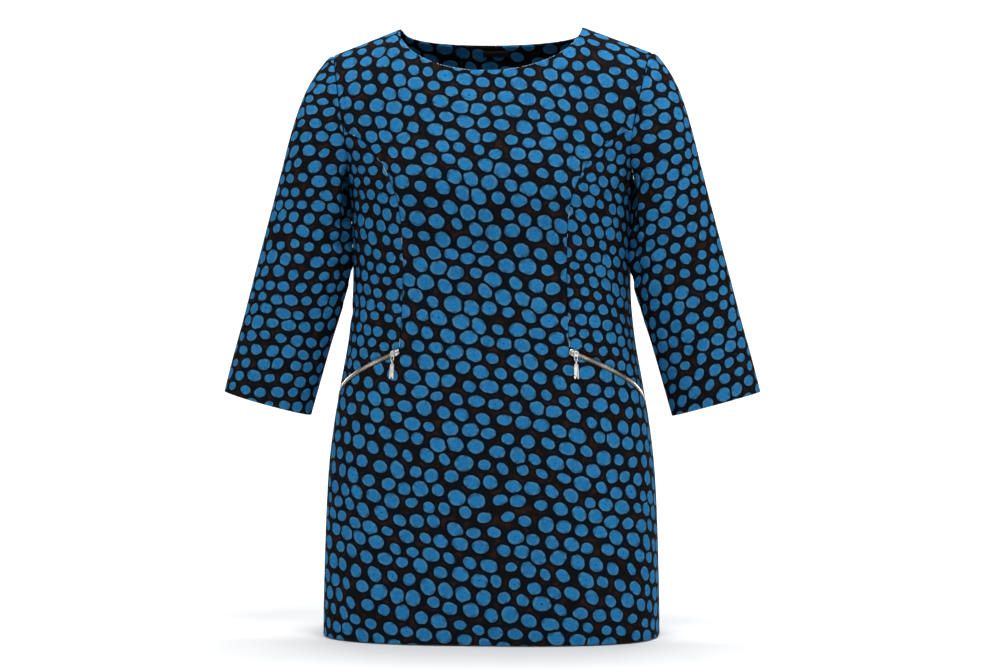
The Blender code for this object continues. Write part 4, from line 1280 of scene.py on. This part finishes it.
def make_seam_threads(material):
    """Pale thread in the stretched bust seams and at the turn of the neckline: partly thread showing
    through, partly painted highlight for the gleams along them.
    """
    mesh = bmesh.new()
    for side, height, length in SEAM_HIGHLIGHT_THREADS:
        mirror = np.array([side, 1.0, 1.0])
        lift = body_normal(princess_along(height), height) * mirror
        ends = []
        for h in (height - length / 2, height + length / 2):
            ends.append(np.array(on_body(FRONT, princess_along(h), h)) * mirror - lift * THREAD_SINK)
        add_stitch(mesh, *ends, SEAM_THREAD, lift)
    edge = np.array([yoke_point(FRONT, share, 1.0) for share in np.linspace(0.0, NECK_SHARE, 120)])
    lift = np.array(NECK_STITCH_LIFT)
    for first, last in NECK_HIGHLIGHT_THREADS:
        marks = np.linspace(first, last, max(2, round((last - first) / NECK_STITCH) + 1))
        for a, b in zip(marks, marks[1:]):
            ends = []
            for x in (a, blend(a, b, NECK_STITCH_SHARE)):
                y, z = (np.interp(abs(x), edge[:, 0], edge[:, k]) for k in (1, 2))
                ends.append(np.array([x, y, z]))
            add_stitch(mesh, *ends, NECK_THREAD, lift)
    trim_piece("seam_threads", mesh, material, None)


def round_edges(piece, name, width, degrees):
    """Rounds a metal part's edges that are sharper than an angle."""
    edges = piece.modifiers.new(name, "BEVEL")
    edges.width = width
    edges.segments = 2
    edges.limit_method = "ANGLE"
    edges.angle_limit = math.radians(degrees)


def make_slider(side_name, sign, material):
    """The die-cast slider: a domed shield that narrows to its nose, and the crown over it."""
    share = SLIDER_FROM_END / math.hypot(*zip_run())
    centre = zip_spot(share)
    normal = body_normal(*zip_pattern(share, 0.0, 0))
    along, across = laid_on(normal, zip_spot(share + SLIDER_HEADING) - centre)
    mirror = np.array([sign, 1.0, 1.0])
    mesh = bmesh.new()
    outline = [*SLIDER_OUTLINE, *((place, -half) for place, half in SLIDER_OUTLINE[::-1])]
    rings = []
    for height, fullness in SLIDER_LEVELS:
        points = [centre + fullness * (x * along + y * across) + height * normal for x, y in outline]
        rings.append([point * mirror for point in points])
    add_loft(mesh, rings)
    path = np.array(CROWN_PATH)
    ways = np.gradient(path[:, :2], axis=0)
    rings = []
    for (place, height, half), way in zip(path, ways):
        out = (normal * way[0] - along * way[1]) / np.linalg.norm(way)
        spot = centre + place * along + height * normal
        ring = round_ring(spot, half * across, half * CROWN_FLATNESS * out, 12)
        rings.append([point * mirror for point in ring])
    add_loft(mesh, rings)
    name, node = "slider_cast_" + side_name, "slider_" + side_name
    slider = trim_piece(name, mesh, material, node)
    slider.data.shade_smooth()
    round_edges(slider, *POLISHED)


def dress_metal(node, material):
    """A carried-over metal part, its sharp edges rounded as tumbling leaves them."""
    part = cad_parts[node]
    part.data.materials.clear()
    part.data.materials.append(material)
    round_edges(part, *TUMBLED)


# --- materials -----------------------------------------------------------------------------


def add(tree, kind, inputs=(), output=0, **settings):
    """Adds a node with its settings and its inputs' values or links, and gives one of its outputs."""
    node = tree.nodes.new("ShaderNode" + kind)
    for name, value in settings.items():
        setattr(node, name, value)
    feed(tree, node, dict(inputs))
    return node.outputs[output]


def feed(tree, node, inputs):
    """Sets a node's inputs to values, or links them to the outputs of other nodes."""
    for socket, value in inputs.items():
        if isinstance(value, bpy.types.NodeSocket):
            tree.links.new(value, node.inputs[socket])
        else:
            node.inputs[socket].default_value = value


def new_material(name):
    material = bpy.data.materials.new(name)
    material.use_nodes = True
    tree = material.node_tree
    return material, tree, tree.nodes["Principled BSDF"]


def opaque(colour):
    return (*colour, 1.0)


def wave_scale(spacing):
    """The scale that makes a wave texture's bands stand a spacing apart."""
    return math.pi / 10 / spacing


# Settings of the nodes that blend two colours, and that step softly from one value to another
COLOURS = {"data_type": "RGBA"}
SOFT = {"interpolation_type": "SMOOTHSTEP"}
# A step aside in the white noise, for a second set of chances at the same dot
OTHER_CHANCES = (31.7, 12.9, 5.3)


def one_dot_group():
    """How far a place lies outside one printed dot, in metres, and that dot's own tone."""
    sizes = bpy.context.scene.dress_print
    group = bpy.data.node_groups.new("one printed dot", "ShaderNodeTree")
    for name in ("Place", "Corner"):
        group.interface.new_socket(name, in_out="INPUT", socket_type="NodeSocketVector")
    for name in ("Outside", "Tone"):
        group.interface.new_socket(name, in_out="OUTPUT", socket_type="NodeSocketFloat")
    ends = group.nodes.new("NodeGroupInput")
    place, corner = ends.outputs["Place"], ends.outputs["Corner"]
    first = add(group, "TexWhiteNoise", {"Vector": corner}, output=1)
    moved = add(group, "VectorMath", {0: corner, 1: OTHER_CHANCES}, operation="ADD")
    second = add(group, "TexWhiteNoise", {"Vector": moved}, output=1)
    split = add(group, "SeparateXYZ", {0: corner}).node
    # Every row starts half a pitch further along than the one below it
    slant = {0: split.outputs[1], 1: 0.5, 2: split.outputs[0]}
    slant = add(group, "Math", slant, operation="MULTIPLY_ADD")
    across = add(group, "Math", {0: slant, 1: sizes.pitch}, operation="MULTIPLY")
    up = add(group, "Math", {0: split.outputs[1], 1: sizes.row}, operation="MULTIPLY")
    centre = add(group, "CombineXYZ", {0: across, 1: up})
    loose = {0: first, 1: (sizes.stray, sizes.stray, 0.0), 2: centre}
    centre = add(group, "VectorMath", loose, operation="MULTIPLY_ADD")
    off = add(group, "VectorMath", {0: place, 1: centre}, operation="SUBTRACT")
    middle = {0: off, 1: (sizes.stray / 2, sizes.stray / 2, 0.0)}
    off = add(group, "VectorMath", middle, operation="ADD")
    chance = add(group, "SeparateXYZ", {0: second}).node
    # Each dot is turned by its own angle, from 14 degrees one way to 43 the other
    angle = add(group, "MapRange", {0: chance.outputs[0], 3: -0.25, 4: 0.75})
    off = add(group, "VectorRotate", {"Vector": off, "Angle": angle}, rotation_type="Z_AXIS")
    # Dots run from four fifths to six fifths of the middling size, some squatter than others
    size = add(group, "MapRange", {0: chance.outputs[1], 3: 0.80, 4: 1.20})
    wide = add(group, "Math", {0: size, 1: sizes.half_width}, operation="MULTIPLY")
    squat = add(group, "MapRange", {0: chance.outputs[2], 3: 0.90, 4: 1.08})
    tall = add(group, "Math", {0: size, 1: squat}, operation="MULTIPLY")
    tall = add(group, "Math", {0: tall, 1: sizes.half_height}, operation="MULTIPLY")
    radii = add(group, "CombineXYZ", {0: wide, 1: tall, 2: 1.0})
    off = add(group, "VectorMath", {0: off, 1: radii}, operation="DIVIDE")
    far = add(group, "VectorMath", {0: off}, output=1, operation="LENGTH")
    middling = (sizes.half_width + sizes.half_height) / 2
    outside = {0: far, 1: middling, 2: -middling}
    outside = add(group, "Math", outside, operation="MULTIPLY_ADD")
    tone = add(group, "SeparateXYZ", {0: first}, output=2)
    feed(group, group.nodes.new("NodeGroupOutput"), {"Outside": outside, "Tone": tone})
    return group


def nearest_dot(tree, cloth, dots):
    """How far each place on the cloth lies outside the dot nearest to it, and that dot's tone."""
    sizes = bpy.context.scene.dress_print
    # Rows drift by 3 to 4 mm over about 100 mm, and each outline wobbles by under 1 mm over 9 mm
    drift = add(tree, "TexNoise", {"Vector": cloth, "Scale": 10.0, "Detail": 0.0}, output=1)
    place = {0: drift, 1: (0.012, 0.012, 0.0), 2: cloth}
    place = add(tree, "VectorMath", place, operation="MULTIPLY_ADD")
    wobble = add(tree, "TexNoise", {"Vector": cloth, "Scale": 110.0, "Detail": 1.0}, output=1)
    place = {0: wobble, 1: (0.0028, 0.0028, 0.0), 2: place}
    place = add(tree, "VectorMath", place, operation="MULTIPLY_ADD")
    # Rows slope by 9 degrees across the cloth
    place = add(tree, "VectorRotate", {"Vector": place, "Angle": 0.16}, rotation_type="Z_AXIS")
    split = add(tree, "SeparateXYZ", {0: place}).node
    row = add(tree, "Math", {0: split.outputs[1], 1: 1.0 / sizes.row}, operation="MULTIPLY")
    column = add(tree, "Math", {0: split.outputs[0], 1: 1.0 / sizes.pitch}, operation="MULTIPLY")
    column = add(tree, "Math", {0: row, 1: -0.5, 2: column}, operation="MULTIPLY_ADD")
    cell = add(tree, "CombineXYZ", {0: column, 1: row})
    cell = add(tree, "VectorMath", {0: cell}, operation="FLOOR")
    # The nearest dot and the second nearest are among the four at the corners of the cell
    outside, second, tone = None, None, None
    for offset in ((0, 0, 0), (1, 0, 0), (0, 1, 0), (1, 1, 0)):
        corner = add(tree, "VectorMath", {0: cell, 1: offset}, operation="ADD")
        found = add(tree, "Group", {"Place": place, "Corner": corner}, node_tree=dots).node
        here, own_tone = found.outputs["Outside"], found.outputs["Tone"]
        if outside is None:
            outside, tone = here, own_tone
            continue
        nearer = add(tree, "Math", {0: here, 1: outside}, operation="LESS_THAN")
        tone = add(tree, "Mix", {0: nearer, 2: tone, 3: own_tone})
        further = add(tree, "Math", {0: here, 1: outside}, operation="MAXIMUM")
        if second is not None:
            further = add(tree, "Math", {0: further, 1: second}, operation="MINIMUM")
        second = further
        outside = add(tree, "Math", {0: outside, 1: here}, operation="MINIMUM")
    # Dots that come close flatten against a strip of ground, so no two of them ever merge
    apart = add(tree, "Math", {0: outside, 1: second}, operation="SUBTRACT")
    apart = add(tree, "Math", {0: apart, 1: 0.5, 2: sizes.gap / 2}, operation="MULTIPLY_ADD")
    outside = add(tree, "Math", {0: outside, 1: apart}, operation="MAXIMUM")
    return outside, tone


def printed_knit(name, dots, colours):
    """Cotton-blend double knit, screen printed: matt, with the ink's navy bleed round each dot."""
    dot, streak, rim, halo, ground, brown = (opaque(colour) for colour in colours)
    material, tree, shader = new_material(name)
    cloth = add(tree, "UVMap", uv_map="cloth")
    outside, tone = nearest_dot(tree, cloth, dots)
    # Brush strokes 2 mm wide and 7 mm long run through the ink, each dot's in its own direction
    turn = add(tree, "Math", {0: tone, 1: 2.4}, operation="MULTIPLY")
    slant = add(tree, "VectorRotate", {"Vector": cloth, "Angle": turn}, rotation_type="Z_AXIS")
    slant = add(tree, "VectorMath", {0: slant, 1: (1.0, 0.30, 1.0)}, operation="MULTIPLY")
    brush = add(tree, "TexNoise", {"Vector": slant, "Scale": 460.0, "Detail": 3.0, "Roughness": 0.65})
    stroke = add(tree, "MapRange", {0: brush, 1: 0.40, 2: 0.62}, **SOFT)
    ink = add(tree, "Mix", {0: stroke, 6: dot, 7: streak}, 2, **COLOURS)
    paler = add(tree, "MapRange", {0: tone, 3: 0.92, 4: 1.08})
    ink = add(tree, "VectorMath", {0: ink, "Scale": paler}, operation="SCALE")
    # One dot in eight has a pinhole near its middle, 2 mm across, where the ink missed the cloth
    pinhole = add(tree, "MapRange", {0: outside, 1: -0.0086, 2: -0.0078, 3: 1.0, 4: 0.0}, **SOFT)
    rare = add(tree, "Math", {0: tone, 1: 0.87}, operation="GREATER_THAN")
    pinhole = add(tree, "Math", {0: pinhole, 1: rare}, operation="MULTIPLY")
    ink = add(tree, "Mix", {0: pinhole, 6: ink, 7: halo}, 2, **COLOURS)
    # Brown shows through the black in patches 10 to 20 mm across
    patch = add(tree, "TexNoise", {"Vector": cloth, "Scale": 70.0, "Detail": 2.0})
    browned = add(tree, "MapRange", {0: patch, 1: 0.45, 2: 0.68}, **SOFT)
    base = add(tree, "Mix", {0: browned, 6: ground, 7: brown}, 2, **COLOURS)
    # Navy bleeds 2 mm out from each dot and fades over the next 3 mm
    bled = add(tree, "MapRange", {0: outside, 1: 0.0020, 2: 0.0052, 3: 1.0, 4: 0.0}, **SOFT)
    colour = add(tree, "Mix", {0: bled, 6: base, 7: halo}, 2, **COLOURS)
    # The rim is 2 to 3 mm of thin, greyer ink, clearer on some sides of a dot than on others
    uneven = add(tree, "TexNoise", {"Vector": cloth, "Scale": 120.0, "Detail": 1.0})
    clear = add(tree, "MapRange", {0: uneven, 1: 0.32, 2: 0.60, 3: 0.45, 4: 1.0}, **SOFT)
    inside = add(tree, "MapRange", {0: outside, 1: -0.0004, 2: 0.0006, 3: 1.0, 4: 0.0}, **SOFT)
    edge = add(tree, "Math", {0: inside, 1: clear}, operation="MULTIPLY")
    colour = add(tree, "Mix", {0: edge, 6: colour, 7: rim}, 2, **COLOURS)
    full = add(tree, "MapRange", {0: outside, 1: -0.0040, 2: -0.0012, 3: 1.0, 4: 0.0}, **SOFT)
    colour = add(tree, "Mix", {0: full, 6: colour, 7: ink}, 2, **COLOURS)
    # Wales of a double knit stand about 0.8 mm apart; drawn at 1.6 mm so that they show, with
    # loops of yarn 0.9 mm across
    wales = {"Vector": cloth, "Scale": wave_scale(0.0016), "Distortion": 0.6, "Detail": 1.0}
    wales = add(tree, "TexWave", wales, output=1)
    fuzz = add(tree, "TexNoise", {"Vector": cloth, "Scale": 1100.0, "Detail": 2.0})
    height = add(tree, "Math", {0: fuzz, 1: 0.8, 2: wales}, operation="MULTIPLY_ADD")
    bump = add(tree, "Bump", {"Strength": 0.45, "Distance": 0.00022, "Height": height})
    # Loops stand a little paler and darker from one to the next, as yarn does
    mottle = add(tree, "MapRange", {0: fuzz, 1: 0.3, 2: 0.7, 3: 0.82, 4: 1.18})
    colour = add(tree, "VectorMath", {0: colour, "Scale": mottle}, operation="SCALE")
    rough = add(tree, "MapRange", {0: fuzz, 1: 0.3, 2: 0.7, 3: 0.80, 4: 0.94})
    feed(tree, shader, {"Base Color": colour, "Roughness": rough, "Normal": bump})
    feed(tree, shader, {"Specular IOR Level": 0.03})
    return material


def woven_ribbon(name, colour, thread):
    """Woven polyester: a flat ribbon, its fine ribs a little shiny on top, with a painted highlight on
    their tops, and dark between.
    """
    material, tree, shader = new_material(name)
    cloth = add(tree, "UVMap", uv_map="cloth")
    wave = {"Vector": cloth, "Scale": wave_scale(thread), "Detail": 0.0}
    ribs = add(tree, "TexWave", wave, output=1, bands_direction="X")
    rows = add(tree, "TexWave", wave, output=1, bands_direction="Y")
    weave = add(tree, "Math", {0: ribs, 1: rows}, operation="MULTIPLY")
    raised = add(tree, "MapRange", {0: weave, 1: 0.3, 2: 1.0}, **SOFT)
    # The raised threads are painted paler: a painted highlight on the tops of the ribs
    pale = opaque([min(1.0, c * 1.6) for c in colour])
    face = add(tree, "Mix", {0: raised, 6: opaque(colour), 7: pale}, 2, **COLOURS)
    bump = add(tree, "Bump", {"Strength": 0.5, "Distance": 0.00012, "Height": weave})
    rough = add(tree, "MapRange", {0: weave, 3: 0.82, 4: 0.62})
    feed(tree, shader, {"Base Color": face, "Roughness": rough, "Normal": bump})
    feed(tree, shader, {"Specular IOR Level": 0.2})
    return material


def plated_metal(name, colour, dark, low, high, grain):
    """Plated metal: bright where it is rubbed, darker and duller in random patches between."""
    material, tree, shader = new_material(name)
    where = add(tree, "TexCoord", output=3)
    wear = add(tree, "TexNoise", {"Vector": where, "Scale": grain, "Detail": 4.0})
    worn = add(tree, "MapRange", {0: wear, 1: 0.35, 2: 0.65}, **SOFT)
    dark = opaque(from_hex(dark))
    face = add(tree, "Mix", {0: worn, 6: dark, 7: opaque(colour)}, 2, **COLOURS)
    rough = add(tree, "MapRange", {0: wear, 1: 0.3, 2: 0.7, 3: high, 4: low}, **SOFT)
    scratch = add(tree, "TexNoise", {"Vector": where, "Scale": grain * 6, "Detail": 3.0})
    bump = add(tree, "Bump", {"Strength": 0.12, "Distance": 0.00005, "Height": scratch})
    feed(tree, shader, {"Base Color": face, "Roughness": rough, "Normal": bump, "Metallic": 1.0})
    return material


def paper_sweep(colour):
    """Seamless background paper: white, matt, with the faintest tooth, drawn 1 mm wide to show."""
    material, tree, shader = new_material("seamless background paper")
    where = add(tree, "TexCoord", output=3)
    tooth = add(tree, "TexNoise", {"Vector": where, "Scale": 900.0, "Detail": 2.0})
    bump = add(tree, "Bump", {"Strength": 0.05, "Distance": 0.0001, "Height": tooth})
    pale = opaque([c * 0.985 for c in colour])
    face = add(tree, "Mix", {0: tooth, 6: pale, 7: opaque(colour)}, 2, **COLOURS)
    feed(tree, shader, {"Base Color": face, "Roughness": 0.9, "Normal": bump})
    return material


def material_called(name):
    """A material of this dress, made the first time that it is asked for."""
    if name in bpy.data.materials:
        return bpy.data.materials[name]
    colours = bpy.context.scene.dress_print
    trim = bpy.context.scene.dress_trim
    if name in ("printed double knit", "printed double knit facing"):
        dots = bpy.data.node_groups.get("one printed dot") or one_dot_group()
        inks = [colours.dot, colours.streak, colours.rim, colours.halo, colours.ground]
        inks.append(from_hex("#2E1C12"))
        if name.endswith("facing"):
            # The facing's dot inks are painted a little darker, as painted shade inside the back neck
            inks = [[c * 0.92 for c in ink] for ink in inks[:3]] + inks[3:]
        return printed_knit(name, dots, inks)
    makers = {
        # Twill tape, threads 0.3 mm thick, drawn at 0.9 mm so that the ribs show
        "woven polyester zip tape": lambda: woven_ribbon(name, trim.tape, 0.0009),
        # Dense satin label, threads 0.15 mm thick, drawn at 0.6 mm
        "damask woven label": lambda: woven_ribbon(name, from_hex("#1B1B1E"), 0.0006),
        # Sewing thread 0.3 mm thick, so its twist is drawn at 0.4 mm
        "spun polyester thread": lambda: woven_ribbon(name, from_hex("#17171B"), 0.0004),
        # Pale thread: partly thread showing where a seam opens, partly painted highlight for the gleams
        # along the seams and the neckline
        "bleached polyester thread": lambda: woven_ribbon(name, from_hex("#A9BCCB"), 0.0004),
        # Stamped teeth with a warm, slightly tarnished plating; grain 2.5 mm, about one tooth
        "antique plated brass": lambda: plated_metal(name, trim.teeth, "#A4998B", 0.24, 0.38, 400.0),
        # Cast and barrel-polished, so it mirrors the pale studio softly; wear in patches of 6 mm
        "nickel-plated zinc": lambda: plated_metal(name, trim.slider, "#C9C7C3", 0.22, 0.32, 160.0),
        "seamless background paper": lambda: paper_sweep(bpy.context.scene.dress_stage.floor),
    }
    return makers[name]()


# --- stage ---------------------------------------------------------------------------------


def make_floor(material):
    """Seamless paper: flat under the dress, and swept up behind it."""
    level = HEM - PAPER_DROP
    profile = [(PAPER_FRONT, level)]
    for turn in np.linspace(0.0, math.pi / 2, 17):
        rise = PAPER_RADIUS * (1 - math.cos(turn))
        profile.append((PAPER_BEND + PAPER_RADIUS * math.sin(turn), level + rise))
    profile.append((PAPER_BEND + PAPER_RADIUS, PAPER_TOP))
    mesh = bmesh.new()
    sides = (-PAPER_HALF_WIDTH, PAPER_HALF_WIDTH)
    lines = [[mesh.verts.new((x, y, z)) for x in sides] for y, z in profile]
    for low, high in zip(lines, lines[1:]):
        mesh.faces.new((low[0], low[1], high[1], high[0]))
    floor = mesh_object("background paper", mesh, material)
    floor.data.shade_smooth()
    floor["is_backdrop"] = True


def add_light(name, place, target, width, height, power):
    data = bpy.data.lights.new(name, "AREA")
    data.shape = "RECTANGLE"
    data.size, data.size_y, data.energy = width, height, power
    light = placed(bpy.data.objects.new(name, data))
    light.location = place
    light.rotation_euler = (Vector(target) - Vector(place)).to_track_quat("-Z", "Y").to_euler()
    light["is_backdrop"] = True


def make_stage():
    sizes = bpy.context.scene.dress_stage
    scene = bpy.context.scene
    make_floor(material_called("seamless background paper"))
    world = bpy.data.worlds.new("white room")
    world.use_nodes = True
    # The room looks white and gives the dress only a little light, as a dimmed white studio does
    tree = world.node_tree
    seen = add(tree, "LightPath")
    strength = add(tree, "Mix", {0: seen, 2: sizes.room, 3: 1.0})
    white = (1.0, 1.0, 1.0, 1.0)
    feed(tree, tree.nodes["Background"], {"Color": white, "Strength": strength})
    scene.world = world
    for name, place, target, width, height, power in LIGHTS:
        add_light(name, place, target, width, height, getattr(sizes, power))
    scene.view_settings.view_transform = "Standard"
    azimuth = sizes.azimuth
    right = Vector((math.cos(azimuth), math.sin(azimuth), 0.0))
    target = Vector((0.0, 0.0, EYE_HEIGHT)) + right * EYE_OFFSET
    lens = bpy.data.cameras.new("camera")
    lens.sensor_width = SENSOR_WIDTH
    lens.lens = LENS
    lens.clip_end = 100.0
    camera = placed(bpy.data.objects.new("camera", lens))
    camera.location = target + sizes.distance * Vector((math.sin(azimuth), -math.cos(azimuth), 0.0))
    camera.rotation_euler = (math.pi / 2, 0.0, azimuth)
    camera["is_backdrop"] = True
    scene.camera = camera


# --- operators and panel -------------------------------------------------------------------

SIDES = (("left", 1), ("right", -1))


class DRESS_OT_front(bpy.types.Operator):
    """Lay the front panel with its hem, neckline and seams"""

    bl_idname = "dress.front"
    bl_label = "Front panel"

    def execute(self, context):
        make_front_panel(material_called("printed double knit"))
        return {"FINISHED"}


class DRESS_OT_side_fronts(bpy.types.Operator):
    """Lay the two side fronts between the bust seams and the side seams"""

    bl_idname = "dress.side_fronts"
    bl_label = "Side fronts"

    def execute(self, context):
        for side_name, sign in SIDES:
            make_side_front(side_name, sign, material_called("printed double knit"))
        return {"FINISHED"}


class DRESS_OT_backs(bpy.types.Operator):
    """Lay the two back panels with their hem"""

    bl_idname = "dress.backs"
    bl_label = "Backs"

    def execute(self, context):
        for side_name, sign in SIDES:
            make_back(side_name, sign, material_called("printed double knit"))
        return {"FINISHED"}


class DRESS_OT_sleeves(bpy.types.Operator):
    """Lay the two set-in sleeves with their cuff hems"""

    bl_idname = "dress.sleeves"
    bl_label = "Sleeves"

    def execute(self, context):
        for side_name, sign in SIDES:
            make_sleeve(side_name, sign, material_called("printed double knit"))
        return {"FINISHED"}


class DRESS_OT_neck(bpy.types.Operator):
    """Lay the back neck facing and sew the bare label on it"""

    bl_idname = "dress.neck"
    bl_label = "Neck facing and label"

    def execute(self, context):
        label, points = make_label(material_called("damask woven label"))
        make_facing(material_called("printed double knit facing"))
        make_label_stitches(points, material_called("spun polyester thread"))
        return {"FINISHED"}


class DRESS_OT_highlight_threads(bpy.types.Operator):
    """Sew the pale threads, partly painted highlight, in the bust seams and at the neckline"""

    bl_idname = "dress.threads"
    bl_label = "Seam highlight threads"

    def execute(self, context):
        make_seam_threads(material_called("bleached polyester thread"))
        return {"FINISHED"}


class DRESS_OT_zips(bpy.types.Operator):
    """Set the two zips: tapes and single teeth"""

    bl_idname = "dress.zips"
    bl_label = "Zips"

    def execute(self, context):
        for side_name, sign in SIDES:
            make_tape(side_name, sign, material_called("woven polyester zip tape"))
            make_teeth(side_name, sign, material_called("antique plated brass"))
        return {"FINISHED"}


class DRESS_OT_pulls(bpy.types.Operator):
    """Finish the sliders and their hanging pulls"""

    bl_idname = "dress.pulls"
    bl_label = "Sliders and pulls"

    def execute(self, context):
        for side_name, sign in SIDES:
            make_slider(side_name, sign, material_called("nickel-plated zinc"))
            for part in ("pull_link_", "pull_bar_"):
                dress_metal(part + side_name, material_called("nickel-plated zinc"))
        return {"FINISHED"}


class DRESS_OT_stage(bpy.types.Operator):
    """Set up the pale paper floor, soft lights and camera"""

    bl_idname = "dress.stage"
    bl_label = "Stage"

    def execute(self, context):
        make_stage()
        return {"FINISHED"}


class DRESS_PT_parts(bpy.types.Panel):
    """Lists the dress's pieces in the sidebar"""

    bl_idname = "DRESS_PT_parts"
    bl_label = "Shift Dress"
    bl_space_type = "VIEW_3D"
    bl_region_type = "UI"
    bl_category = "Dress"

    def draw(self, context):
        for operator in OPERATORS:
            self.layout.operator(operator.bl_idname)
        for group in ("dress_cloth", "dress_print", "dress_trim", "dress_stage"):
            sizes = getattr(context.scene, group)
            box = self.layout.box()
            for name in sizes.bl_rna.properties.keys():
                if name not in ("rna_type", "name"):
                    box.prop(sizes, name)


OPERATORS = (
    DRESS_OT_front,
    DRESS_OT_side_fronts,
    DRESS_OT_backs,
    DRESS_OT_sleeves,
    DRESS_OT_neck,
    DRESS_OT_highlight_threads,
    DRESS_OT_zips,
    DRESS_OT_pulls,
    DRESS_OT_stage,
)
GROUPS = {
    "dress_cloth": ClothSizes,
    "dress_print": PrintSizes,
    "dress_trim": TrimSizes,
    "dress_stage": StageSizes,
}


def register():
    for name, group in GROUPS.items():
        bpy.utils.register_class(group)
        setattr(bpy.types.Scene, name, bpy.props.PointerProperty(type=group))
    for entry in (*OPERATORS, DRESS_PT_parts):
        bpy.utils.register_class(entry)


def unregister():
    for entry in (DRESS_PT_parts, *reversed(OPERATORS)):
        bpy.utils.unregister_class(entry)
    for name, group in GROUPS.items():
        delattr(bpy.types.Scene, name)
        bpy.utils.unregister_class(group)


def main():
    register()
    bpy.ops.dress.front()
    bpy.ops.dress.side_fronts()
    bpy.ops.dress.backs()
    bpy.ops.dress.sleeves()
    bpy.ops.dress.neck()
    bpy.ops.dress.threads()
    bpy.ops.dress.zips()
    bpy.ops.dress.pulls()
    bpy.ops.dress.stage()
    boxes = {"cad": CAD_BOX, "scene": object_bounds()}
    boxes = {name: [list(corner) for corner in box] for name, box in boxes.items()}


if __name__ == "__main__":
    main()
